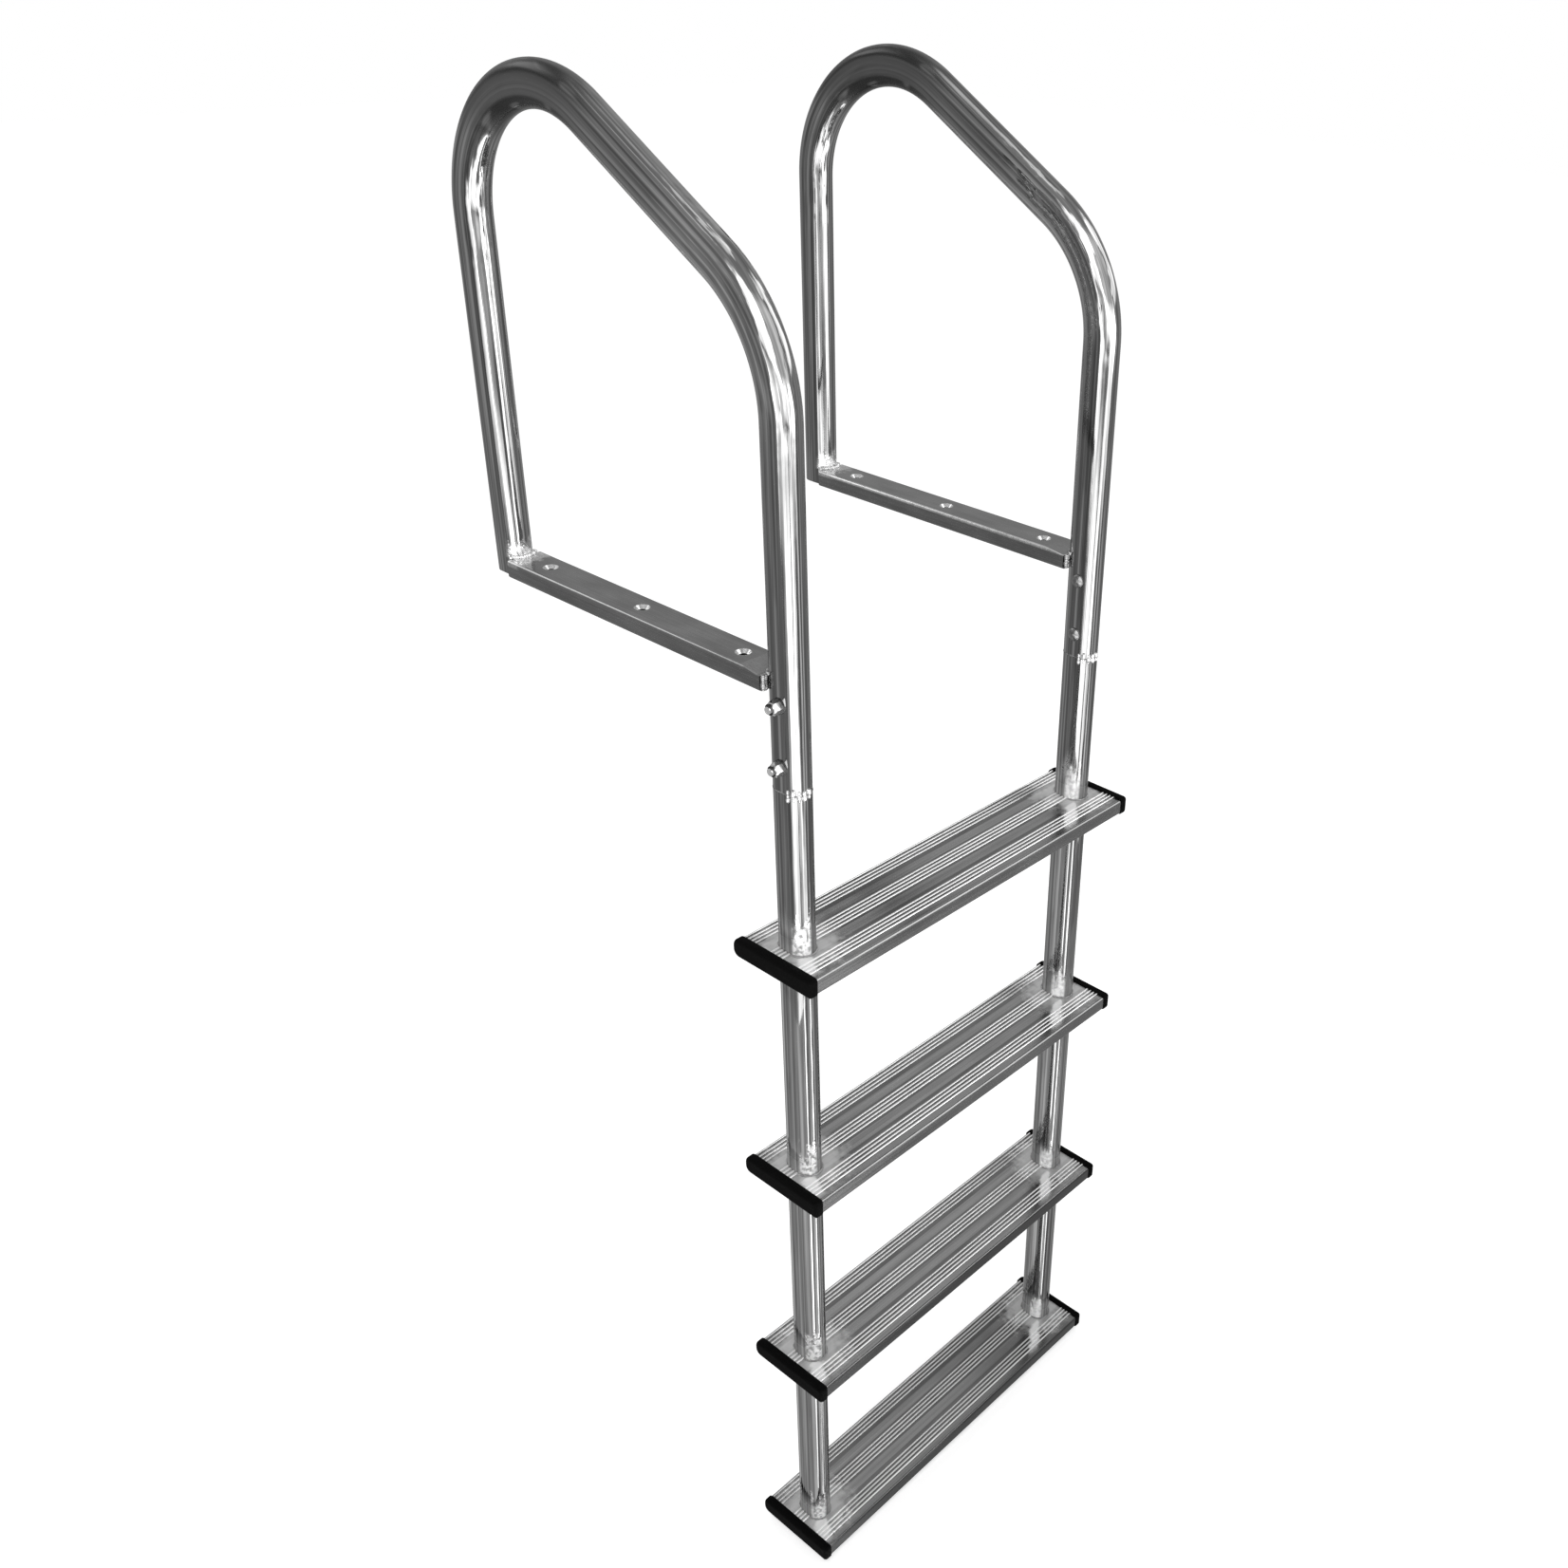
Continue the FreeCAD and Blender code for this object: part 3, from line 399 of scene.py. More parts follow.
@dataclass(frozen=True)
class PolishedTube:
    """Drawn aluminium tube: buffed lines, rippled bends, brushed at welds and painted near
    white there as a painted highlight.
    """

    name: str = "polished_tube"
    straight: tuple[float, float] = (0.19, 0.46)
    # tone pair of the front bend, painted lighter as a painted highlight
    elbow_highlight: tuple[float, float] = (0.36, 0.64)
    scratch: float = 0.1
    # levels of the painted shade on the top of the rear bend and on its crown
    top_shade: float = 0.17
    crown_shade: float = 0.04
    roughness: float = 0.045
    line_depth: float = 0.22 * MM
    fine_depth: float = 0.04 * MM
    blotch_depth: float = 0.25 * MM
    ripple_depth: float = 1.7 * MM
    brushed_above: float = 46.0 * MM

    def material(self) -> Material:
        """Build the finish on the place round and along the tube, which its mesh has.

        Returns:
            The material.
        """
        bench = FinishBench(self.name, Metallic=1.0)
        stored = {"attribute_name": TUBE_PLACE}
        wrap = bench.out("ShaderNodeAttribute", stored, output="Vector")
        broad = bench.noise(wrap, (330.0, 330.0, 1.3), 1.5)
        lines = bench.noise(wrap, (850.0, 850.0, 2.2), 2.0)
        smears = bench.noise(wrap, (60.0, 60.0, 7.0), 4.0)
        scores = bench.noise(wrap, (150.0, 150.0, 1.1), 0.5)
        waves = bench.noise(wrap, (105.0, 105.0, 30.0), 0.6)
        dents = bench.noise(wrap, (300.0, 300.0, 78.0), 1.0)
        ripple = waves * 0.9 + dents * 0.1
        brushed_and_lit, blotches = self._brushed_highlights(bench)
        bends, elbow_highlight, crown, top_shade = self._bends(bench, wrap)
        tone = (broad * 0.6 + lines * 0.2 + smears * 0.2).rise(0.4, 0.6)
        straight = bench.shade(tone, *self.straight)
        # painted highlight: the front bend's tone is painted lighter than the straight
        # tube
        drawn = bench.shade(elbow_highlight, straight, bench.shade(tone, *self.elbow_highlight))
        scored = (scores - 0.5).size().fall(0.04, 0.12) * smears.rise(0.35, 0.5)
        clean = bench.shade(scored * 0.5, drawn, self.scratch)
        # painted shade: the top of the rear bend is painted an even darker grey, and its
        # outer crown near black
        top_shaded = bench.shade(top_shade * 0.8, clean, self.top_shade)
        crown_shade = crown * ripple.rise(0.26, 0.42)
        crown_shaded = bench.shade(crown_shade * 0.92, top_shaded, self.crown_shade)
        cover = 0.3 + bench.right * 0.4
        worked = brushed_and_lit * (cover + (1.0 - cover) * blotches)
        # painted highlight: the brushed patches are painted near white
        colour = bench.shade(worked, crown_shaded, BRUSHED_HIGHLIGHT_LEVEL)
        off_step = bench.over_step.size()
        worn = smears.rise(0.45, 0.8) * 0.04 + lines * 0.02
        hazy = off_step.fall(10.0 * MM, 34.0 * MM) * bench.under * 0.3
        scratched = brushed_and_lit * (0.1 + 0.2 * blotches + 0.2 * bench.right)
        roughness = worn + scratched + hazy + crown_shade * 0.2 + self.roughness
        near_step = off_step.fall(24.0 * MM, 52.0 * MM) * bench.under
        frosted = near_step * (0.7 - worked * 0.55)
        relief = (
            broad * (1.0 - top_shade * 0.8) * (self.line_depth / self.ripple_depth)
            + lines * (self.fine_depth / self.ripple_depth)
            + ripple * bends
            + brushed_and_lit * blotches * (self.blotch_depth / self.ripple_depth)
        )
        return bench.finish(colour, roughness, relief, self.ripple_depth, frosted)

    def _brushed_highlights(self, bench: FinishBench) -> tuple[Value, Value]:
        """Find the brushed patches over each step and each bar, painted near white as a
        painted highlight.

        Args:
            bench: The finish's bench.

        Returns:
            The mask of the brushed patches with their painted highlight, and the blotches
            in them.
        """
        x, y, z = bench.axes
        rise, right = bench.over_step, bench.right
        ragged = bench.noise(bench.place, (150.0, 150.0, 40.0))
        blotches = bench.noise(bench.place, 200.0).rise(0.36, 0.58)
        sway = (ragged - 0.5) * 90.0 * MM
        above = (rise + sway).fall(self.brushed_above * 0.55, self.brushed_above)
        sideways = x.wrapped(SIZES.middle_x) + (1.0 + 8.0 * right) * MM
        ahead = y - SIZES.front_leg_y + (8.0 - 6.0 * right) * MM
        front = ahead.fall(-2.5 * MM, 2.5 * MM) * sideways.fall(-2.0 * MM, 2.0 * MM)
        over_steps = bench.under * rise.rise(-1.0 * MM, 0.0) * above * front
        foot = (z + sway * 0.5 - SIZES.bar_top).fall(6.0 * MM, 24.0 * MM)
        inner = (y - SIZES.rear_leg_y).fall(-13.0 * MM, -4.0 * MM) * y.rise(0.2, 0.21)
        over_bar = foot * inner * (z - SIZES.bar_top).rise(-1.0 * MM, 0.0)
        return over_steps.most(over_bar), blotches

    def _bends(self, bench: FinishBench, wrap: Socket) -> tuple[Value, ...]:
        """Find the tube's bends.

        Args:
            bench: The finish's bench.
            wrap: The place round and along the tube.

        Returns:
            The strength of the ripples, and masks of the front bend, which is painted
            lighter, of the crown on the rear bend, painted near black as painted shade,
            and of the top round that crown, painted a darker grey as painted shade.
        """
        _, y, z = bench.axes
        _, outward, _ = bench.split(wrap)
        corner = SIZES.front_corner_rise
        front = z.rise(corner - 0.14, corner - 0.04) * y.fall(0.03, 0.13)
        rear = z.rise(0.29, 0.35) * y.rise(0.24, 0.32)
        top = z.rise(0.44, 0.48) * y.rise(0.16, 0.24)
        crown = top * outward.size().rise(7.0 * MM, 12.0 * MM)
        return (front + rear * 0.7) * 0.9 + 0.1, front, crown, top


@dataclass(frozen=True)
class RibbedExtrusion:
    """Step metal: die lines along the extrusion, rib crests rubbed bright, painted
    highlights on each group's front rib and before each rail, painted shade in the grooves
    and along the front edge.
    """

    name: str = "ribbed_extrusion"
    flat: float = 0.29
    crest: float = 0.9
    groove: float = 0.18
    # level of the painted shade along the step's front edge
    nose: float = 0.05
    roughness: float = 0.17
    line_depth: float = 0.01 * MM
    stroke: float = 0.55

    def material(self) -> Material:
        """Build the finish in the part's own frame.

        Returns:
            The material.
        """
        bench = FinishBench(self.name, Metallic=1.0)
        x, y, z = bench.axes
        rise = bench.over_step
        lines = bench.noise(bench.place, (3.0, 1300.0, 1300.0), 2.0)
        broad = bench.noise(bench.place, (2.2, 160.0, 160.0))
        smears = bench.noise(bench.place, (14.0, 30.0, 30.0), 4.0)
        crest = rise.rise(0.2 * MM, 0.6 * MM)
        low = rise.rise(-0.5 * MM, 0.0) * rise.fall(0.05 * MM, 0.25 * MM)
        groups = self._over_groups(y, 0.0, SIZES.rib_group_half)
        # painted shade: the grooves at the foot of the ribs are painted darker, with a
        # little random change
        groove_shade = low * groups * (0.55 + smears.rise(0.35, 0.75) * 0.3)
        tone = (lines * 0.4 + broad * 0.35 + smears * 0.25).rise(0.28, 0.72)
        metal = bench.shade(tone, self.groove, self.flat * 1.25)
        # painted shade: a dark band on the step's front edge and face, stronger on the
        # lower steps
        nose = (y - SIZES.front_leg_y).fall(-57.5 * MM, -56.5 * MM) * z.fall(-1.0, -0.5)
        plain = bench.shade(nose * 0.8, metal, self.nose)
        # painted highlight: the front rib of each group, short of the right end, is
        # painted white
        third_rib = self._over_groups(y, -2.0 * SIZES.rib_pitch, 1.5 * MM)
        lead_rib_highlight = third_rib * x.fall(0.46, 0.49)
        shine = bench.shade(lead_rib_highlight, self.crest, 1.0)
        # rib crests rubbed bright, with each group's front rib lifted to white as a
        # painted highlight
        rubbed = bench.shade(crest * (0.75 + lead_rib_highlight * 0.25), plain, shine)
        # painted shade in the grooves between the ribs
        groove_shaded = bench.shade(groove_shade, rubbed, self.groove * 0.55)
        patch_highlight, halo_highlight = self._brushed_highlights(bench)
        lit = patch_highlight * (0.75 + crest * 0.25)
        near = halo_highlight * (0.42 + crest * 0.58)
        # painted highlight: the patch before each rail and the halo round it are painted
        # near white
        colour = bench.shade(lit.most(near), groove_shaded, BRUSHED_HIGHLIGHT_LEVEL)
        frosted = (patch_highlight * 0.8).most(halo_highlight * 0.45).most(crest * 0.5)
        worn = lines * 0.06 + smears.rise(0.4, 0.8) * 0.08 + self.roughness
        roughness = worn - crest * 0.06 + patch_highlight * 0.1 + halo_highlight * 0.22
        relief = lines * 0.6 + broad * 0.4
        return bench.finish(colour, roughness, relief, self.line_depth, frosted)

    def _over_groups(self, y: Value, shift: float, half: float) -> Value:
        """Mask a strip in each of the three groups of ribs.

        Args:
            y: The place from front to rear.
            shift: The strip's place in its group.
            half: Half of its width.

        Returns:
            The mask.
        """
        strips = [
            (y - SIZES.front_leg_y - middle - shift).size().fall(half, half + 0.5 * MM)
            for middle in SIZES.rib_groups
        ]
        return strips[0].most(strips[1]).most(strips[2])

    def _brushed_highlights(self, bench: FinishBench) -> tuple[Value, Value]:
        """Find the patch in front of each rail, a painted reflection of the rail laid as a
        brushed patch, and the painted highlight round it.

        Args:
            bench: The finish's bench.

        Returns:
            The masks of the painted-reflection patches and of the haze round them, which
            is also a painted highlight.
        """
        x, y, _ = bench.axes
        top = bench.over_step.rise(-1.0 * MM, 0.0)
        across = x.wrapped(SIZES.middle_x)
        ahead = y - SIZES.front_leg_y
        ragged = bench.noise(bench.place, 110.0, 2.0) - 0.5
        stroke = self.stroke + 0.7 * bench.right
        off = (across - ahead * stroke).size() + ragged * 18.0 * MM
        length = ahead.fall(-20.0 * MM, -12.0 * MM) * ahead.rise(-58.0 * MM, -40.0 * MM)
        patch_highlight = off.fall(6.0 * MM, 17.0 * MM) * length
        far = (across * across + ahead * ahead).root() + ragged * 50.0 * MM
        halo_highlight = far.fall(24.0 * MM, 62.0 * MM)
        return patch_highlight * top, halo_highlight * top


@dataclass(frozen=True)
class BarExtrusion:
    """Deck bar metal: lines along the bar, turned countersinks, top edges painted lighter
    as a painted highlight.
    """

    name: str = "bar_extrusion"
    flat: float = 0.23
    groove: float = 0.17
    welded: float = 0.95
    # levels of the painted highlight on the top edge of the left and the right bar
    rubbed: tuple[float, float] = (0.3, 0.85)
    turned: float = 0.85
    roughness: float = 0.15
    sink: float = 8.6 * MM
    ring_pitch: float = 0.45 * MM
    line_depth: float = 0.012 * MM

    def material(self) -> Material:
        """Build the finish in the part's own frame.

        Returns:
            The material.
        """
        bench = FinishBench(self.name, Metallic=1.0)
        x, y, z = bench.axes
        lines = bench.noise(bench.place, (1300.0, 3.0, 1300.0), 2.0)
        smears = bench.noise(bench.place, (45.0, 16.0, 45.0), 4.0)
        ragged = bench.noise(bench.place, 170.0, 4.0) - 0.5
        across = (x - SIZES.middle_x).size() - SIZES.middle_x
        along = (y - SIZES.hole_middle).wrapped(SIZES.hole_pitch / 2)
        radius = (across * across + along * along).root()
        inside = radius.fall(self.sink - 0.5 * MM, self.sink)
        rings = (radius * (2 * math.pi / self.ring_pitch)).sine() * 0.5 + 0.5
        tone = (lines * 0.5 + smears * 0.5).rise(0.3, 0.7)
        plain = bench.shade(tone, self.groove, self.flat * 1.2)
        ahead = (SIZES.rear_leg_y - y) + ragged * 40.0 * MM
        worked = ahead.fall(32.0 * MM, 44.0 * MM) * z.rise(13.0 * MM, 17.0 * MM)
        welded = bench.shade(worked * (0.5 + ragged), plain, self.welded)
        # painted highlight: the top outer edge is painted light on the right bar and kept
        # darker on the left
        edge = across.size().rise(19.4 * MM, 20.4 * MM) * z.rise(16.0 * MM, 17.0 * MM)
        edge_highlight = bench.shade(bench.right, *self.rubbed)
        edge_lit = bench.shade(edge * (0.75 + ragged - worked * 0.5), welded, edge_highlight)
        colour = bench.shade(inside * 0.85, edge_lit, self.turned)
        worn = lines * 0.05 + smears.rise(0.45, 0.8) * 0.07 + self.roughness
        roughness = worn + inside * 0.08 + worked * 0.12
        relief = lines * (1.0 - inside) * 0.5 + rings * inside * 1.4
        return bench.finish(colour, roughness, relief, self.line_depth)


@dataclass(frozen=True)
class WeldMetal:
    """Bright weld metal with a frosted skin and small dark pits."""

    name: str
    bright: float
    dull: float
    pit: float
    roughness: float
    skin_depth: float = 0.05 * MM

    def material(self) -> Material:
        """Build the finish in the part's own frame.

        Returns:
            The material.
        """
        bench = FinishBench(self.name, Metallic=1.0)
        frost = bench.noise(bench.place, 900.0)
        cloud = bench.noise(bench.place, 160.0)
        cells = {"Vector": bench.place, "Scale": 260.0}
        specks = bench.value("ShaderNodeTexVoronoi", None, cells, "Distance")
        pits = specks.fall(0.1, 0.3) * cloud.rise(0.5, 0.62)
        skin = bench.shade(cloud.rise(0.3, 0.7), self.dull, self.bright)
        colour = bench.shade(pits, skin, self.pit)
        roughness = frost * 0.18 + pits * 0.3 + self.roughness
        relief = frost * 0.4 + cloud * 0.8 - pits
        return bench.finish(colour, roughness, relief, self.skin_depth)


@dataclass(frozen=True)
class MouldedPlastic:
    """Black moulded plastic with a fine grain and edges rubbed a little grey."""

    name: str = "moulded_plastic"
    colour: float = 0.0012
    rubbed: float = 0.004
    roughness: float = 0.72
    sheen: float = 0.06
    grain_depth: float = 0.03 * MM

    def material(self) -> Material:
        """Build the finish in the part's own frame.

        Returns:
            The material.
        """
        bench = FinishBench(self.name, Specular_IOR_Level=self.sheen)
        grain = bench.noise(bench.place, 1500.0, 2.0)
        worn = bench.noise(bench.place, (90.0, 60.0, 260.0), 4.0).rise(0.56, 0.78)
        colour = bench.shade(worn * 0.5, self.colour, self.rubbed)
        roughness = self.roughness + grain * 0.12 - worn * 0.1
        return bench.finish(colour, roughness, grain, self.grain_depth)


@dataclass(frozen=True)
class BrightSteel:
    """Bright metal with turned lines and faint scuffs."""

    name: str
    bright: float
    dull: float
    roughness: float
    line_depth: float = 0.02 * MM

    def material(self) -> Material:
        """Build the finish in the part's own frame.

        Returns:
            The material.
        """
        bench = FinishBench(self.name, Metallic=1.0)
        turned = bench.noise(bench.place, (1900.0, 260.0, 260.0), 2.0)
        scuffs = bench.noise(bench.place, 300.0, 4.0)
        tone = (turned * 0.5 + scuffs * 0.5).rise(0.35, 0.65)
        colour = bench.shade(tone, self.dull, self.bright)
        roughness = self.roughness + scuffs * 0.12
        relief = turned * 0.6 + scuffs * 0.4
        return bench.finish(colour, roughness, relief, self.line_depth)


@dataclass(frozen=True)
class NutSteel:
    """Bright nut flanks with a dark, oily end face round the bolt."""

    name: str = "nut_steel"
    bright: float = 0.92
    dull: float = 0.66
    oily: float = 0.07
    roughness: float = 0.12
    scuff_depth: float = 0.03 * MM

    def material(self) -> Material:
        """Build the finish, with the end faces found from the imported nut.

        Returns:
            The material.
        """
        bench = FinishBench(self.name, Metallic=1.0)
        face = bench.past_nuts.rise(-1.0 * MM, -0.5 * MM)
        scuffs = bench.noise(bench.place, 420.0)
        flank = bench.shade(scuffs.rise(0.35, 0.65), self.dull, self.bright)
        colour = bench.shade(face, flank, self.oily)
        roughness = scuffs * 0.1 + face * 0.15 + self.roughness
        return bench.finish(colour, roughness, scuffs, self.scuff_depth)


@dataclass(frozen=True)
class BoltSteel:
    """Dull bolt head, and a thread end turned bright."""

    name: str = "bolt_steel"
    head: float = 0.26
    end: float = 0.95
    roughness: float = 0.3
    scuff_depth: float = 0.03 * MM

    def material(self) -> Material:
        """Build the finish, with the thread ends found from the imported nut.

        Returns:
            The material.
        """
        bench = FinishBench(self.name, Metallic=1.0)
        tip = bench.past_nuts.rise(-2.0 * MM, -1.0 * MM)
        scuffs = bench.noise(bench.place, 300.0, 4.0)
        dull = bench.shade(scuffs.rise(0.3, 0.7), self.head * 0.7, self.head)
        colour = bench.shade(tip, dull, self.end)
        roughness = (self.roughness - tip * 0.1) * (scuffs * 0.2 + 0.9)
        return bench.finish(colour, roughness, scuffs, self.scuff_depth)


class Finishes:
    """Every finish of the ladder, made once and given out by slot."""

    def __init__(self) -> None:
        """Build the materials."""
        self.welds = {skin: WeldMetal(*skin.value).material() for skin in WeldSkin}
        finishes = {
            "rail_tube": PolishedTube(),
            "insert_tube": BrightSteel("insert_metal", 0.5, 0.35, 0.3),
            "deck_bar": BarExtrusion(),
            "step_extrusion": RibbedExtrusion(),
            "steel_bolt": BoltSteel(),
            "steel_washer": BrightSteel("washer_steel", 0.16, 0.09, 0.3),
            "steel_nut": NutSteel(),
            "cap_plastic": MouldedPlastic(),
            "black_plug": MouldedPlastic("plug_plastic", 0.002, 0.006, 0.65),
        }
        self.by_slot = {slot: kind.material() for slot, kind in finishes.items()}
        self.by_slot["weld_bead"] = self.welds[WeldSkin.ROUGH]

    def dress_packed_nodes(self) -> int:
        """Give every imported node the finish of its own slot.

        Returns:
            How many nodes there are.
        """
        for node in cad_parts.values():
            for place in node.material_slots:
                place.material = self.by_slot[place.material.name.split(".")[0]]
        return len(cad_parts)


def add_object(name: str, data: bpy.types.ID) -> Piece:
    """Put an object with that mesh, lamp or camera in the scene.

    Args:
        name: The object's name.
        data: What it shows.

    Returns:
        The object.
    """
    made = bpy.data.objects.new(name, data)
    bpy.context.scene.collection.objects.link(made)
    return made


def add_mesh(name: str, points: list, faces: list, finish: Material) -> Piece:
    """Put a mesh in the scene.

    Args:
        name: The name of the mesh and its object.
        points: Its points, in metres.
        faces: Its faces, as numbers of points.
        finish: Its material.

    Returns:
        The object.
    """
    mesh = bpy.data.meshes.new(name)
    mesh.from_pydata(points, [], faces)
    mesh.materials.append(finish)
    return add_object(name, mesh)


def declare(piece: Piece, node: str) -> Piece:
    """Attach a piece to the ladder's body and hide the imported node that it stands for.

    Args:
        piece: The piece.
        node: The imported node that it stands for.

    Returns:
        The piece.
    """
    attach(piece, BODY)
    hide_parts(node)
    return piece


def quads(rows: int, columns: int) -> list[tuple[int, ...]]:
    """The faces between closed rows of points that lie one after the other.

    Args:
        rows: How many rows there are.
        columns: How many points each row has.

    Returns:
        The faces, row by row.
    """
    faces = []
    for start in range(0, (rows - 1) * columns, columns):
        for column in range(columns):
            here, after = start + column, start + (column + 1) % columns
            faces.append((here, here + columns, after + columns, after))
    return faces


class ShapeBench(Bench):
    """A Geometry Nodes tree that is built once and run on one guide after another."""

    def __init__(self, name: str) -> None:
        """Start an empty tree with its geometry going in and out.

        Args:
            name: The tree's name.
        """
        super().__init__(bpy.data.node_groups.new(name, "GeometryNodeTree"))
        for way in ("INPUT", "OUTPUT"):
            self._socket("Geometry", "NodeSocketGeometry", way)
        self.group_in = self.node("NodeGroupInput")
        self.group_out = self.node("NodeGroupOutput")
        self.identifiers: dict[str, str] = {}

    def _socket(self, name: str, kind: str, way: str) -> str:
        """Add a named socket to the tree's interface and give its identifier."""
        ends = self.tree.interface
        return ends.new_socket(name=name, in_out=way, socket_type=kind).identifier

    def named_input(self, name: str, kind: str = "NodeSocketFloat") -> Value:
        """A named input of the tree, ready to be used in sums."""
        self.identifiers[name] = self._socket(name, kind, "INPUT")
        return Value(self, self.group_in.outputs[name])

    def guide(self) -> Socket:
        """The guide's lines as a curve."""
        return self.out("GeometryNodeMeshToCurve", inputs={0: self.group_in.outputs[0]})

    def evened(self, curve: Socket, pitch: Feed) -> Socket:
        """The curve with its points that far apart."""
        inputs = {"Curve": curve, "Length": pitch}
        return self.out("GeometryNodeResampleCurve", {"mode": "LENGTH"}, inputs)

    def moved(self, geometry: Socket, offset: Socket) -> Socket:
        """The geometry with its points moved."""
        inputs = {"Geometry": geometry, "Offset": offset}
        return self.out("GeometryNodeSetPosition", inputs=inputs)

    def kept(self, geometry: Socket, kind: str, value: Socket) -> tuple[Socket, Socket]:
        """Keep a value on the points.

        Args:
            geometry: What has the points.
            kind: The value's type.
            value: The value as it is here.

        Returns:
            The geometry and the kept value.
        """
        made = self.node("GeometryNodeCaptureAttribute")
        made.capture_items.new(kind, "Kept")
        self.feed(made.inputs[0], geometry)
        self.feed(made.inputs[1], value)
        return made.outputs[0], made.outputs[1]

    def close(self, geometry: Socket) -> None:
        """End the tree with smooth, real meshes that carry the finish.

        Args:
            geometry: What the tree has made.
        """
        finish = self.named_input("Finish", "NodeSocketMaterial")
        smooth = self.out("GeometryNodeSetShadeSmooth", inputs={0: geometry})
        realised = self.out("GeometryNodeRealizeInstances", inputs={0: smooth})
        inputs = {"Geometry": realised, "Material": finish}
        dressed = self.out("GeometryNodeSetMaterial", inputs=inputs)
        self.feed(self.group_out.inputs[0], dressed)

    def run(self, guide: bpy.types.Mesh, name: str, values: dict) -> Piece:
        """Turn a guide mesh into a finished piece.

        Args:
            guide: The mesh of points and edges that the tree follows.
            name: The piece's name.
            values: What each named input is set to.

        Returns:
            The piece, a plain mesh without the modifier.
        """
        maker = add_object(f"{name}_guide", guide)
        modifier = maker.modifiers.new(self.tree.name, "NODES")
        modifier.node_group = self.tree
        for key, value in values.items():
            modifier[self.identifiers[key]] = value
        evaluated = maker.evaluated_get(bpy.context.evaluated_depsgraph_get())
        mesh = bpy.data.meshes.new_from_object(evaluated)
        mesh.name = name
        bpy.data.objects.remove(maker)
        bpy.data.meshes.remove(guide)
        return add_object(name, mesh)


def guide_mesh(runs: list[list[Vector]], closed: bool = False,
               radii: list[float] | None = None) -> bpy.types.Mesh:
    """A mesh of joined points for a tree to follow.

    Args:
        runs: One or more lines of points, in metres.
        closed: Whether each line returns to its first point.
        radii: Bend radius at each point, if the lines have bends.

    Returns:
        The guide mesh.
    """
    points: list[Vector] = []
    edges: list[tuple[int, int]] = []
    for run in runs:
        first = len(points)
        points.extend(run)
        edges.extend((first + i, first + i + 1) for i in range(len(run) - 1))
        if closed:
            edges.append((len(points) - 1, first))
    mesh = bpy.data.meshes.new("guide")
    mesh.from_pydata(points, edges, [])
    bend = mesh.attributes.new("bend_radius", "FLOAT", "POINT")
    bend.data.foreach_set("value", radii or [0.0] * len(points))
    return mesh


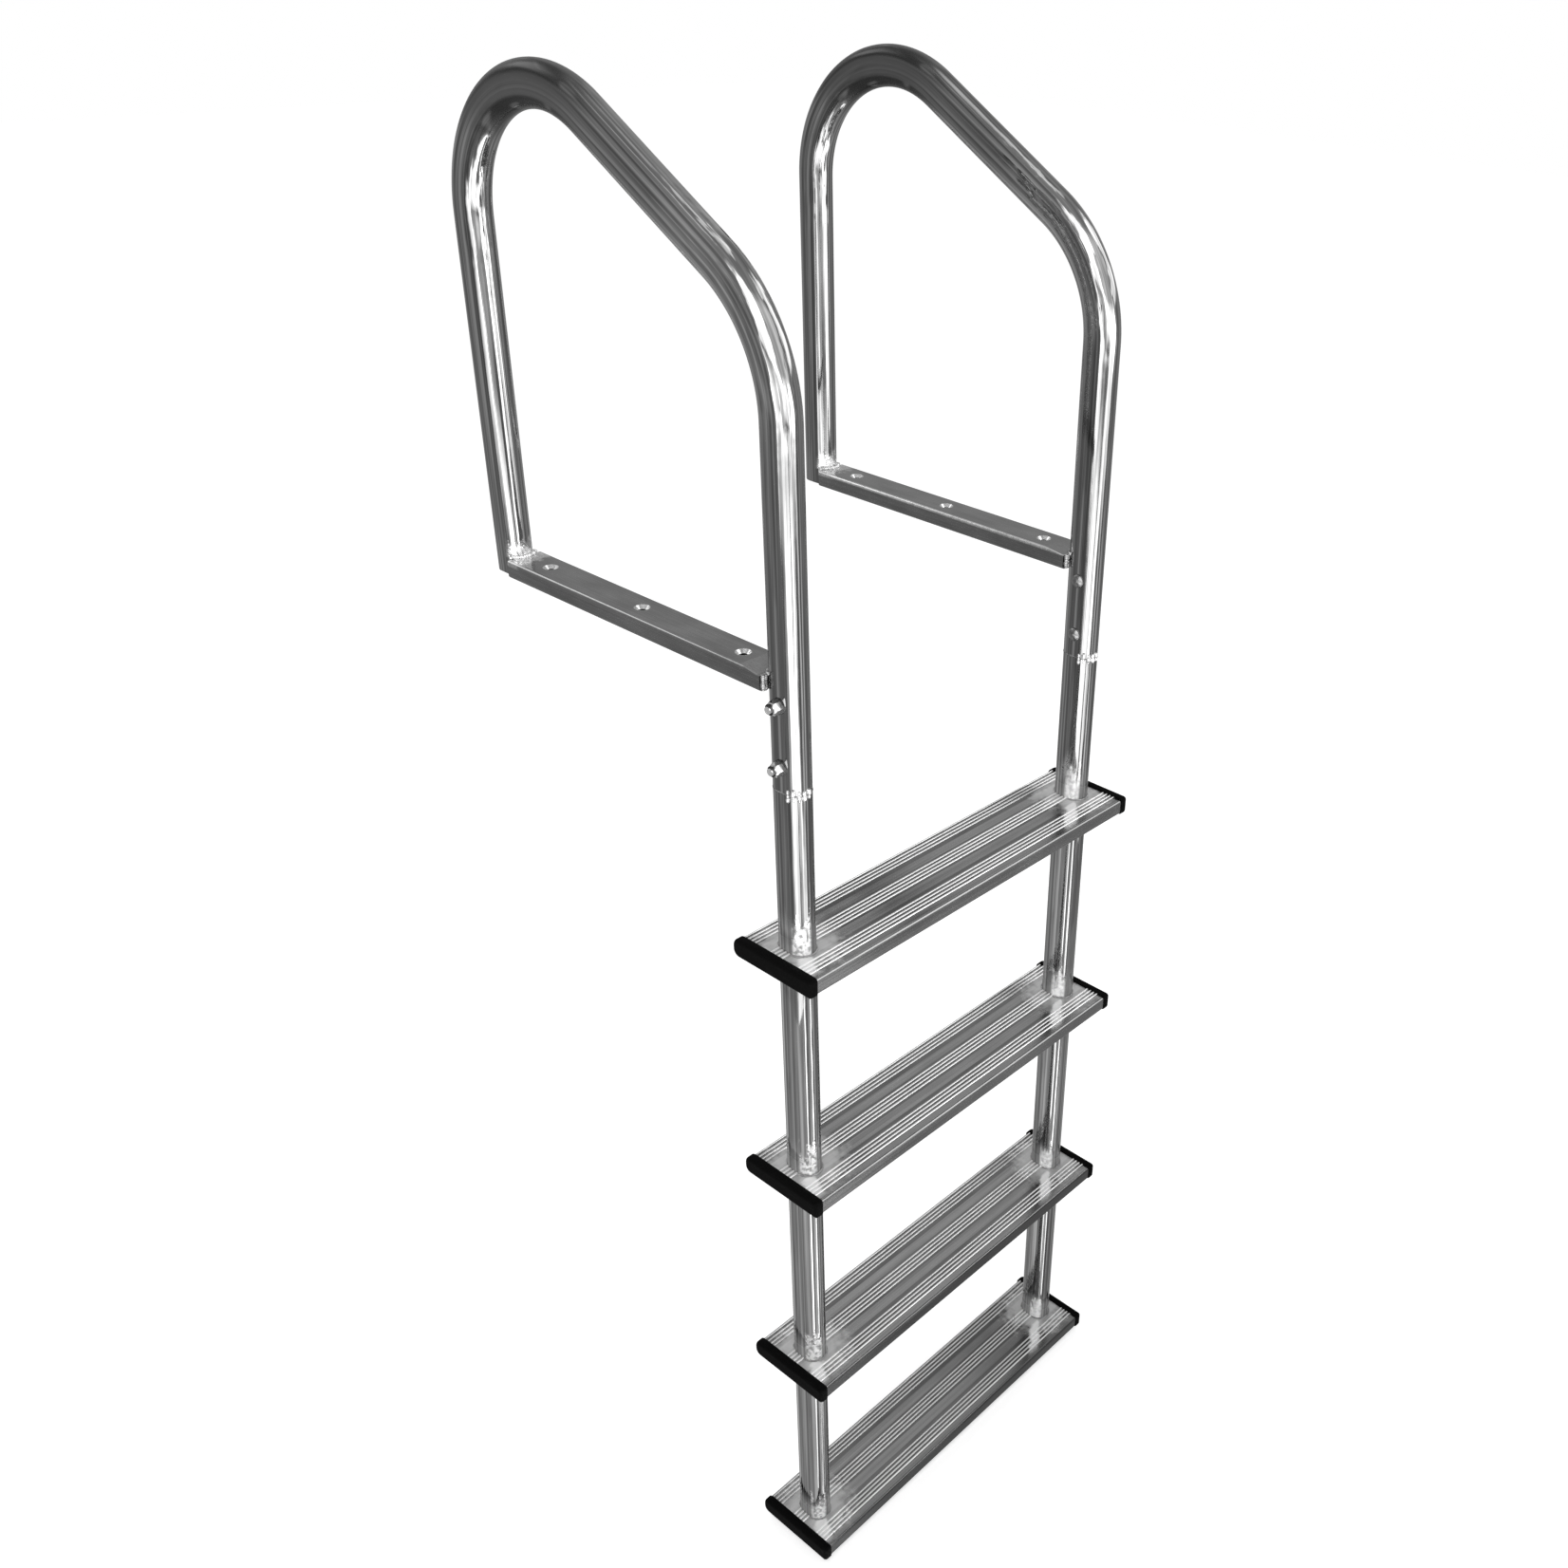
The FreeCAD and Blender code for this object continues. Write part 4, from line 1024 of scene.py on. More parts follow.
class TubeTree(ShapeBench):
    """Flat-sided oval tube along a path with rounded bends."""

    RING_STEP = 6.0 * MM
    ROUND_POINTS = 64
    BEND_POINTS = 40
    SWAYS_ROUND = 18.0
    SWAYS_ALONG = 11.0

    def __init__(self) -> None:
        """Build the tree."""
        super().__init__("BentTube")
        names = ("Depth", "Width", "Foot Round", "Wobble")
        depth, width, foot_round, wobble = (self.named_input(name) for name in names)
        path, along = self._path()
        profile, local = self._profile(depth, width)
        inputs = {"Curve": path, "Profile Curve": profile, "Fill Caps": True}
        swept = self.out("GeometryNodeCurveToMesh", inputs=inputs)
        across, outward, _ = self.split(local)
        wrap = self.join(across, outward, along)
        stored = self.out(
            "GeometryNodeStoreNamedAttribute",
            {"data_type": "FLOAT_VECTOR", "domain": "POINT"},
            {"Geometry": swept, "Name": TUBE_PLACE, "Value": wrap},
        )
        lift = self._foot_lift(outward, along, depth, foot_round)
        sway = self._sway(across, outward, along, wobble)
        self.close(self.moved(self.moved(stored, lift), sway))

    def _path(self) -> tuple[Socket, Value]:
        """Bend the centre line.

        Returns:
            The line and the length run along it.
        """
        radius = self.out(
            "GeometryNodeInputNamedAttribute", {"data_type": "FLOAT"},
            {"Name": "bend_radius"},
        )
        bent = self.out(
            "GeometryNodeFilletCurve", {"mode": "POLY"},
            {"Curve": self.guide(), "Count": self.BEND_POINTS, "Radius": radius},
        )
        length = self.out("GeometryNodeSplineParameter", output="Length")
        path, along = self.kept(self.evened(bent, self.RING_STEP), "FLOAT", length)
        return path, Value(self, along)

    def _profile(self, depth: Value, width: Value) -> tuple[Socket, Socket]:
        """Draw the flat-sided oval.

        Args:
            depth: Its larger size.
            width: Its smaller size.

        Returns:
            The outline and each point's place on it.
        """
        ring = self.out(
            "GeometryNodeCurvePrimitiveCircle", {"mode": "RADIUS"},
            {"Resolution": self.ROUND_POINTS, "Radius": width / 2.0},
        )
        half_turn = (0.0, 0.0, math.pi / self.ROUND_POINTS)
        inputs = {"Geometry": ring, "Rotation": half_turn}
        turned = self.out("GeometryNodeTransform", inputs=inputs)
        _, up, _ = self.split(self.out("GeometryNodeInputPosition"))
        shift = self.join(0.0, up.sign() * (depth - width) / 2.0, 0.0)
        place = self.out("GeometryNodeInputPosition")
        return self.kept(self.moved(turned, shift), "VECTOR", place)

    def _foot_lift(self, outward: Value, along: Value, depth: Value,
                   foot_round: Value) -> Socket:
        """Round the back of the path's first ring.

        Args:
            outward: Place from the tube's middle towards its back.
            along: Place along the path.
            depth: The tube's larger size.
            foot_round: Radius of the rounding.

        Returns:
            How far each point is lifted.
        """
        past = (outward - (depth / 2.0 - foot_round)).most(0.0)
        lift = foot_round - (foot_round * foot_round - past * past).most(0.0).root()
        return self.join(0.0, 0.0, lift * along.fall(0.0, self.RING_STEP * 0.5))

    def _sway(self, across: Value, outward: Value, along: Value,
              wobble: Value) -> Socket:
        """Make the slight unevenness of a drawn and bent tube.

        Args:
            across: Place from the tube's middle to its side.
            outward: Place from the tube's middle towards its back.
            along: Place along the path.
            wobble: Size of the unevenness.

        Returns:
            How far each point is moved.
        """
        round_by, along_by = self.SWAYS_ROUND, self.SWAYS_ALONG
        spot = self.join(across * round_by, outward * round_by, along * along_by)
        share = self.noise(spot, detail=1.0) - 0.5
        inputs = {0: self.out("GeometryNodeInputNormal"), "Scale": share * wobble}
        return self.out("ShaderNodeVectorMath", {"operation": "SCALE"}, inputs)


class BeadTree(ShapeBench):
    """Weld bead: overlapping lobes laid along a line."""

    SEGMENTS = 10
    RINGS = 7
    FLATNESS = 0.62

    def __init__(self) -> None:
        """Build the tree."""
        super().__init__("WeldBead")
        names = ("Lobe Pitch", "Lobe Size", "Unevenness")
        pitch, size, lean = (self.named_input(name) for name in names)
        seed = self.named_input("Seed", "NodeSocketInt")
        inputs = {"Segments": self.SEGMENTS, "Rings": self.RINGS, "Radius": size}
        lobe = self.out("GeometryNodeMeshUVSphere", inputs=inputs)
        way = {"Vector": self.out("GeometryNodeInputTangent")}
        turn = self.out("FunctionNodeAlignRotationToVector", {"axis": "Z"}, way)
        limits = {2: 1.0 - lean, 3: 1.0 + lean, "Seed": seed}
        girth = self.value("FunctionNodeRandomValue", {"data_type": "FLOAT"}, limits, 1)
        swell = self.join(girth, girth, self.FLATNESS * girth)
        points = self.evened(self.guide(), pitch)
        inputs = {"Points": points, "Instance": lobe, "Rotation": turn, "Scale": swell}
        self.close(self.out("GeometryNodeInstanceOnPoints", inputs=inputs))


@dataclass
class RailTube:
    """The bent handrail and the straight rail of one side, both of one tube."""

    side: Side
    tree: TubeTree
    finish: Material
    wobble: float = 0.16 * MM
    square_foot: float = 0.1 * MM

    def _sweep(self, corners: tuple, foot_round: float, rail: str) -> Piece:
        """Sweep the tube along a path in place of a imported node.

        Args:
            corners: The path's corners, each with its y, z and bend radius.
            foot_round: Rounding at the back of the path's first end.
            rail: The node's name without the side.

        Returns:
            The tube.
        """
        node = f"{self.side.word}_{rail}"
        points = [Vector((self.side.value, y, z)) for y, z, _ in corners]
        guide = guide_mesh([points], radii=[radius for *_, radius in corners])
        values = {
            "Depth": SIZES.tube_depth,
            "Width": SIZES.tube_width,
            "Foot Round": foot_round,
            "Wobble": self.wobble,
            "Finish": self.finish,
        }
        return declare(self.tree.run(guide, f"{node}_tube", values), node)

    def build(self) -> list[Piece]:
        """Make both tubes of this side.

        Returns:
            The tubes.
        """
        front, rear = SIZES.front_leg_y, SIZES.rear_leg_y
        half_gap = SIZES.splice_gap / 2
        bent = (
            (rear, 0.0, 0.0),
            (rear, SIZES.rear_corner_rise, SIZES.rear_bend),
            (front, SIZES.front_corner_rise, SIZES.front_bend),
            (front, SIZES.splice_z + half_gap, 0.0),
        )
        straight = ((front, SIZES.foot_z, 0.0), (front, SIZES.splice_z - half_gap, 0.0))
        return [
            self._sweep(bent, SIZES.foot_round, "handrail"),
            self._sweep(straight, self.square_foot, "side_rail"),
        ]


def oval_points(x: float, y: float, z: float, grow: float, reach: Reach,
                step: float = 6.0, nudge: float = 0.01) -> list[Vector]:
    """Points round a tube's flat-sided outline at one height.

    Args:
        x: Tube centre across the ladder.
        y: Tube centre front to back.
        z: Height of the points.
        grow: Distance from the tube's surface.
        reach: How far round the points run.
        step: Degrees from one point to the next.
        nudge: Share of a step that keeps the points off the ends of the flat sides.

    Returns:
        The points in order.
    """
    start, end = reach.value
    radius = SIZES.tube_width / 2 + grow
    half_flat = (SIZES.tube_depth - SIZES.tube_width) / 2
    count = round((end - start) / step)
    points = []
    for index in range(count + (reach is not Reach.ALL_ROUND)):
        share = (index + nudge) / (count + 2 * nudge)
        angle = math.radians(start + (end - start) * share)
        lift = math.copysign(half_flat, math.sin(angle))
        way = (radius * math.cos(angle), radius * math.sin(angle))
        points.append(Vector((x + way[0], y + way[1] + lift, z)))
    return points


@dataclass(frozen=True)
class Lobes:
    """The lobes of one kind of bead; pitch and lean are shares of their radius."""

    radius: float
    seed: int
    skin: WeldSkin
    closed: bool = False
    pitch: float = 0.72
    lean: float = 0.16


@dataclass
class WeldSet:
    """Every weld bead of the ladder, laid lobe by lobe."""

    tree: BeadTree
    metals: dict[WeldSkin, Material]
    on_step: Lobes = Lobes(1.3 * MM, 0, WeldSkin.DRESSED)
    under_step: Lobes = Lobes(2.7 * MM, 10, WeldSkin.ROUGH, closed=True)
    seam: Lobes = Lobes(1.0 * MM, 31, WeldSkin.GROUND, closed=True)
    tacks: Lobes = Lobes(3.5 * MM, 33, WeldSkin.ROUGH, pitch=1.2, lean=0.42)
    rear: Lobes = Lobes(3.0 * MM, 51, WeldSkin.ROUGH)
    front: Lobes = Lobes(2.6 * MM, 52, WeldSkin.DRESSED)
    upright_foot: float = 2.5 * MM
    tack_rises: tuple[tuple[Reach, float], ...] = (
        (Reach.BIG_TACK, 3.4 * MM), (Reach.BIG_TACK, -0.6 * MM),
        (Reach.BIG_TACK, -4.6 * MM), (Reach.SMALL_TACK, 2.8 * MM),
        (Reach.SMALL_TACK, -2.2 * MM),
    )

    def _lay(self, runs: list[list[Vector]], node: str, part: str, lobes: Lobes,
             number: int = 0) -> Piece:
        """Lay a bead.

        Args:
            runs: The lines that it follows.
            node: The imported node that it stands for.
            part: What its name adds to the node's.
            lobes: Its lobes.
            number: What is added to their seed.

        Returns:
            The bead.
        """
        values = {
            "Lobe Pitch": lobes.radius * lobes.pitch,
            "Lobe Size": lobes.radius,
            "Unevenness": lobes.lean,
            "Seed": lobes.seed + number,
            "Finish": self.metals[lobes.skin],
        }
        piece = self.tree.run(guide_mesh(runs, lobes.closed), f"{node}_{part}", values)
        return declare(piece, node)

    def step_welds(self, number: int) -> list[Piece]:
        """Lay beads on a step, before and behind each rail, and all round below.

        Args:
            number: The step.

        Returns:
            The beads.
        """
        top, y = SIZES.step_z(number), SIZES.front_leg_y
        under = top - SIZES.step_height - 1.2 * MM
        node = f"step_{number}_welds"
        upper = [
            oval_points(side.value, y, top + 0.5 * MM, 0.5 * MM, reach)
            for side in Side for reach in (Reach.FRONT, Reach.REAR)
        ]
        lower = [
            oval_points(side.value, y, under, 1.1 * MM, Reach.ALL_ROUND)
            for side in Side
        ]
        return [
            self._lay(upper, node, "above", self.on_step, number),
            self._lay(lower, node, "below", self.under_step, number),
        ]

    def splice_weld(self, side: Side) -> list[Piece]:
        """Lay the dressed seam round a splice, and its rough tacks.

        Args:
            side: The splice's side.

        Returns:
            The seam and the tacks.
        """
        x, y, z = side.value, SIZES.front_leg_y, SIZES.splice_z
        node = f"{side.word}_splice_weld"
        ring = oval_points(x, y, z, -0.6 * MM, Reach.ALL_ROUND)
        lumps = [
            oval_points(x, y, z + rise, -0.8 * MM, reach)
            for reach, rise in self.tack_rises
        ]
        return [
            self._lay([ring], node, "seam", self.seam),
            self._lay(lumps, node, "tacks", self.tacks),
        ]

    def bar_welds(self, side: Side) -> list[Piece]:
        """Lay a bead and its upright ends between a deck bar and each leg.

        Args:
            side: The bar's side.

        Returns:
            The beads at the rear and the front leg.
        """
        plan = (
            ("rear", SIZES.rear_leg_y, SIZES.bar_top + 1.2 * MM, 1.1 * MM,
             Reach.BAR_REAR_LEG, (-1.5 * MM, 2.2 * MM), self.rear),
            ("front", SIZES.front_leg_y, SIZES.bar_nose + 0.6 * MM, 0.7 * MM,
             Reach.BAR_FRONT_LEG, (3.6 * MM, 6.2 * MM), self.front),
        )
        made = []
        for leg, y, z, grow, reach, outs, lobes in plan:
            run = oval_points(side.value, y, z, grow, reach)
            shifts = [Vector((out, 0.0, 0.0)) for out in outs]
            tops = [end for out in shifts for end in (run[0] + out, run[-1] - out)]
            drops = [[top, Vector((top.x, top.y, self.upright_foot))] for top in tops]
            node = f"{side.word}_{leg}_leg_weld"
            made.append(self._lay([run, *drops], node, "bead", lobes))
        return made

    def build(self) -> list[Piece]:
        """Lay every bead.

        Returns:
            The beads.
        """
        made = []
        for number in range(1, SIZES.step_count + 1):
            made += self.step_welds(number)
        for side in Side:
            made += self.splice_weld(side) + self.bar_welds(side)
        return made


@dataclass
class EndCap:
    """Moulded cap over one end of a step: a soft-edged shell with a deep rim."""

    number: int
    side: Side
    finish: Material
    rim: float = 11.0 * MM
    rim_bevel: float = 0.6 * MM
    lip: float = 1.4 * MM
    above: float = 2.7 * MM
    nose: float = 4.4 * MM
    heel: float = 9.4 * MM
    least_round: float = 0.5 * MM
    edge: float = 4.4 * MM
    corner_points: int = 7
    edge_points: int = 6

    def _outline(self, x: float, inset: float) -> list[Vector]:
        """Draw one ring of the shell.

        Args:
            x: The ring's place across the ladder.
            inset: How far it is drawn in.

        Returns:
            The ring's points.
        """
        top = SIZES.step_z(self.number)
        half = SIZES.step_depth / 2 + self.lip - inset
        low = top - SIZES.step_height - self.lip + inset
        high = top + self.above - inset
        corners = (
            (-half, low, self.nose, 180.0), (half, low, self.heel, 270.0),
            (half, high, self.heel, 0.0), (-half, high, self.nose, 90.0),
        )
        ring = []
        for y, z, full, start in corners:
            radius = max(full - inset, self.least_round)
            y -= math.copysign(radius, y)
            z += radius if z == low else -radius
            for index in range(self.corner_points):
                turn = math.radians(start + 90.0 * index / (self.corner_points - 1))
                way = Vector((0.0, math.cos(turn), math.sin(turn)))
                ring.append(Vector((x, SIZES.front_leg_y + y, z)) + way * radius)
        return ring

    def build(self) -> Piece:
        """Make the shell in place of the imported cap.

        Returns:
            The shell.
        """
        node = f"step_{self.number}_{self.side.word}_cap"
        left = self.side is Side.LEFT
        low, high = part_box(node)
        outer, inward = (low.x, 1.0) if left else (high.x, -1.0)
        places = [(self.rim, self.rim_bevel), (self.rim - self.rim_bevel, 0.0)]
        for index in range(self.edge_points + 1):
            turn = math.radians(90.0 * index / self.edge_points)
            deep = self.edge * (1.0 - math.sin(turn))
            places.append((deep, self.edge * (1.0 - math.cos(turn))))
        rings = [self._outline(outer + inward * deep, inset) for deep, inset in places]
        count = len(rings[0])
        points = [point for ring in rings for point in ring]
        last = len(points) - 1
        faces = [tuple(range(count)), tuple(range(last, last - count, -1))]
        faces += quads(len(rings), count)
        if not left:
            faces = [face[::-1] for face in faces]
        piece = add_mesh(f"{node}_shell", points, faces, self.finish)
        rounded = [len(face) == 4 for face in faces]
        piece.data.polygons.foreach_set("use_smooth", rounded)
        return declare(piece, node)


@dataclass(frozen=True)
class GlowRow:
    """Levels of the studio's reflected light at one height, round the ladder.

    Stops are (azimuth, level) from 0 to 360 degrees, with azimuth from +X towards
    +Y. A level of 1 is the white of the background.
    """

    elevation: float
    stops: tuple[tuple[float, float], ...]

    def level(self, azimuth: float) -> float:
        """Find the level in one direction, on a straight line between its stops.

        Args:
            azimuth: The direction.

        Returns:
            The level.
        """
        for (low, first), (high, second) in zip(self.stops, self.stops[1:]):
            if azimuth <= high:
                return first + (second - first) * (azimuth - low) / (high - low)
        return self.stops[-1][1]


@dataclass(frozen=True)
class Panel:
    """One soft-edged panel laid over the rows; all sizes in degrees."""

    azimuth: tuple[float, float]
    elevation: tuple[float, float]
    level: float
    soft: float

    def share(self, azimuth: float, elevation: float) -> float:
        """Find how much of one direction the panel fills.

        Args:
            azimuth: The direction round the ladder.
            elevation: The direction upwards.

        Returns:
            The share, from 0 to 1.
        """
        full = 1.0
        for (low, high), at in ((self.azimuth, azimuth), (self.elevation, elevation)):
            off = abs((at - (low + high) / 2 + 180.0) % 360.0 - 180.0)
            edge = (high - low) / 2 - off
            full *= min(max(edge / self.soft + 0.5, 0.0), 1.0)
        return full


def round_steps(step: float) -> list[tuple[float, Vector]]:
    """Directions all round the ladder.

    Args:
        step: Degrees from one to the next.

    Returns:
        Each direction's azimuth, and the way it points in the level plane.
    """
    turns = [index * step for index in range(round(360.0 / step))]
    angles = [math.radians(turn) for turn in turns]
    ways = [Vector((math.cos(angle), math.sin(angle), 0.0)) for angle in angles]
    return list(zip(turns, ways))


def mirrored_only(name: str, points: list[Vector], levels: list[float],
                  columns: int) -> Piece:
    """A glowing surface that nothing but a reflection sees.

    Args:
        name: The surface's name.
        points: Its points, in closed rows.
        levels: The light at each point, with 1 for white.
        columns: How many points a row has.

    Returns:
        The surface, which is part of the studio.
    """
    bench = MaterialBench(name)
    glow = bench.out("ShaderNodeAttribute", {"attribute_name": "glow"}, output="Fac")
    material = bench.show(bench.out("ShaderNodeEmission", inputs={"Strength": glow}))
    material.cycles.emission_sampling = "NONE"
    made = add_mesh(name, points, quads(len(points) // columns, columns), material)
    stored = made.data.attributes.new("glow", "FLOAT", "POINT")
    stored.data.foreach_set("value", levels)
    for rays in ("camera", "diffuse", "shadow"):
        setattr(made, f"visible_{rays}", False)
    return made


LOW_STOPS = (
    (0, 0.35), (45, 0.4), (110, 0.42), (144, 0.42), (149, 0.25), (158, 0.2),
    (172, 0.22), (180, 0.5), (188, 1.6), (196, 4.2), (230, 4.6), (232, 0.5), (236, 0.5),
    (238, 4.6), (256, 4.8), (260, 0.42), (275, 0.38), (279, 2.2), (284, 2.2),
    (287, 0.38), (299, 0.38), (301, 0.95), (305, 0.95), (308, 0.38), (360, 0.35),
)


@dataclass
class MirrorDome:
    """The far surround that only mirror-like surfaces see, row by row."""

    radius: float = 40.0
    turn_step: float = 1.0
    tilt_step: float = 2.0
    rows: tuple[GlowRow, ...] = (
        GlowRow(-36.0, (
            (0, 0.36), (45, 0.36), (110, 0.4), (128, 0.42), (150, 0.5), (164, 0.3),
            (178, 0.4), (188, 1.2), (193, 4.2), (224, 4.4), (228, 0.45), (248, 0.45),
            (253, 4.4), (282, 4.0), (287, 0.5), (296, 0.42), (303, 0.95), (310, 0.42),
            (340, 0.4), (360, 0.36),
        )),
        GlowRow(-28.0, LOW_STOPS),
        GlowRow(-20.0, LOW_STOPS),
        GlowRow(-14.0, (
            (0, 0.35), (110, 0.42), (125, 0.42), (140, 0.25), (155, 0.25), (163, 1.0),
            (168, 4.2), (196, 4.4), (200, 0.9), (224, 0.9), (228, 0.35), (246, 0.35),
            (252, 4.6), (284, 4.6), (288, 0.42), (299, 0.4), (301, 0.95), (305, 0.95),
            (308, 0.38), (360, 0.35),
        )),
        GlowRow(6.0, (
            (0, 0.35), (45, 0.4), (110, 0.38), (144, 0.4), (149, 0.25), (158, 0.2),
            (184, 0.22), (192, 0.4), (205, 0.9), (218, 2.2), (228, 4.4),
            (249, 4.8), (251, 0.5), (254, 0.5), (256, 4.8), (279, 4.8), (286, 0.42),
            (299, 0.38), (301, 0.95), (305, 0.95), (308, 0.38), (360, 0.35),
        )),
        GlowRow(16.0, (
            (0, 0.36), (25, 0.46), (60, 0.5), (130, 0.5), (170, 0.36), (240, 0.5),
            (300, 0.4), (360, 0.36),
        )),
    )
    panels: tuple[Panel, ...] = (
        Panel((22.0, 66.0), (10.0, 40.0), 0.5, 6.0),
        Panel((22.0, 66.0), (30.0, 62.0), 0.78, 6.0),
        Panel((180.0, 228.0), (8.0, 50.0), 3.4, 9.0),
        Panel((234.0, 290.0), (10.0, 54.0), 1.15, 10.0),
        Panel((302.0, 340.0), (12.0, 54.0), 2.7, 5.0),
        Panel((88.0, 122.0), (25.0, 45.0), 2.2, 5.0),
        Panel((0.0, 360.0), (82.0, 98.0), 1.7, 2.0),
        Panel((70.0, 170.0), (63.0, 67.0), 1.1, 3.0),
    )

    def level(self, azimuth: float, elevation: float) -> float:
        """Find the level in one direction, rows first and panels over them.

        Args:
            azimuth: The direction round the ladder.
            elevation: The direction upwards.

        Returns:
            The level.
        """
        height = min(max(elevation, self.rows[0].elevation), self.rows[-1].elevation)
        for under, over in zip(self.rows, self.rows[1:]):
            if height <= over.elevation:
                break
        share = (height - under.elevation) / (over.elevation - under.elevation)
        found = under.level(azimuth) * (1.0 - share) + over.level(azimuth) * share
        for panel in self.panels:
            part = panel.share(azimuth, elevation)
            found = found * (1.0 - part) + panel.level * part
        return found

    def build(self, centre: Vector) -> Piece:
        """Make the surround as a sphere with its levels stored on it.

        Args:
            centre: The sphere's middle.

        Returns:
            The surround.
        """
        around = round_steps(self.turn_step)
        points, levels = [], []
        for row in range(round(180.0 / self.tilt_step) + 1):
            tilt = -90.0 + row * self.tilt_step
            flat, lift = math.cos(math.radians(tilt)), math.sin(math.radians(tilt))
            for turn, way in around:
                spot = Vector((flat * way.x, flat * way.y, lift))
                points.append(centre + spot * self.radius)
                levels.append(self.level(turn, tilt))
        return mirrored_only("mirror_dome", points, levels, len(around))


@dataclass
class GreySkirt:
    """The low grey wall round the ladder's lower half, seen only by mirrors."""

    radius: float = 0.55
    top: float = -0.62
    bottom: float = -3.5
    turn_step: float = 1.0
    row: GlowRow = GlowRow(0.0, (
        (0, 0.42), (60, 0.42), (110, 0.45), (124, 0.8), (136, 0.8), (142, 0.6),
        (150, 0.52), (165, 0.6), (185, 0.85), (209, 0.95), (211, 4.6), (218, 4.6),
        (220, 0.5), (229, 0.5), (233, 0.85), (250, 0.9), (253, 0.5), (255, 5.6),
        (262, 5.6), (264, 0.4), (286, 0.4), (288, 1.5), (291, 1.5), (294, 0.42),
        (360, 0.42),
    ))

    def build(self) -> Piece:
        """Make the wall as a ring with its levels stored on it.

        Returns:
            The wall.
        """
        around = round_steps(self.turn_step)
        points = [
            Vector((SIZES.middle_x, SIZES.front_leg_y, z)) + way * self.radius
            for z in (self.bottom, self.top) for _, way in around
        ]
        levels = [self.row.level(turn) for turn, _ in around]
        return mirrored_only("grey_skirt", points, levels * 2, len(around))


@dataclass
class Studio:
    """Pale floor, white surround, soft lamps and the dome that metal mirrors."""

    centre: Vector = field(default_factory=lambda: Vector((0.23, 0.16, -0.36)))
    floor_reach: float = 14.0
    floor_chalk: float = 0.8
    floor_glow: float = 0.53
    sky_light: float = 0.62
    lamps: tuple[tuple, ...] = (
        ("key_lamp", (-1.9, -1.2, 2.6), 46.0, 1.8),
        ("fill_lamp", (2.2, 1.6, 2.2), 24.0, 2.2),
    )

    def build(self) -> None:
        """Set up everything that isn't the ladder."""
        self._floor()
        self._surround()
        self._lamps()
        MirrorDome().build(self.centre)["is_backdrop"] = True
        GreySkirt().build()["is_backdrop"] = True

    def _white_rays(self, bench: Bench) -> Value:
        """Find the rays that should see the white background.

        Args:
            bench: The bench to work on.

        Returns:
            1 for those rays and 0 for others.
        """
        path = bench.node("ShaderNodeLightPath").outputs
        camera, glossy, through = (
            Value(bench, path[f"Is {kind} Ray"])
            for kind in ("Camera", "Glossy", "Transmission")
        )
        return camera.most(glossy).most(through)

    def _floor(self) -> None:
        """Lay a wide pale floor at the ladder's foot, which keeps its shadow."""
        bench = MaterialBench("pale_floor")
        chalk = bench.out("ShaderNodeBsdfDiffuse", inputs={0: grey(self.floor_chalk)})
        strength = {"Strength": self._white_rays(bench) * self.floor_glow}
        glow = bench.out("ShaderNodeEmission", inputs=strength)
        both = bench.out("ShaderNodeAddShader", inputs={0: chalk, 1: glow})
        material = bench.show(both)
        material.cycles.emission_sampling = "NONE"
        lowest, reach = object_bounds()[0].z, self.floor_reach
        ways = ((-1, -1), (1, -1), (1, 1), (-1, 1))
        corners = [(reach * x, reach * y, lowest) for x, y in ways]
        floor = add_mesh("floor", corners, [(0, 1, 2, 3)], material)
        floor.visible_glossy = False
        floor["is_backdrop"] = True

    def _surround(self) -> None:
        """Put white all round for the camera and for reflections."""
        world = bpy.data.worlds.new("white_surround")
        world.use_nodes = True
        bench = Bench(world.node_tree)
        more = self._white_rays(bench) * (1.0 - self.sky_light)
        inputs = {"Color": grey(1.0), "Strength": self.sky_light + more}
        sky = bench.out("ShaderNodeBackground", inputs=inputs)
        bench.node("ShaderNodeOutputWorld", inputs={"Surface": sky})
        bpy.context.scene.world = world

    def _lamps(self) -> None:
        """Hang two large soft lamps, kept out of the mirror-like tubes."""
        for name, place, power, width in self.lamps:
            lamp = bpy.data.lights.new(name, "AREA")
            lamp.energy = power
            lamp.size = width
            holder = add_object(name, lamp)
            way = self.centre - Vector(place)
            holder.location = place
            holder.rotation_mode = "QUATERNION"
            holder.rotation_quaternion = way.to_track_quat("-Z", "Y")
            holder.visible_glossy = False


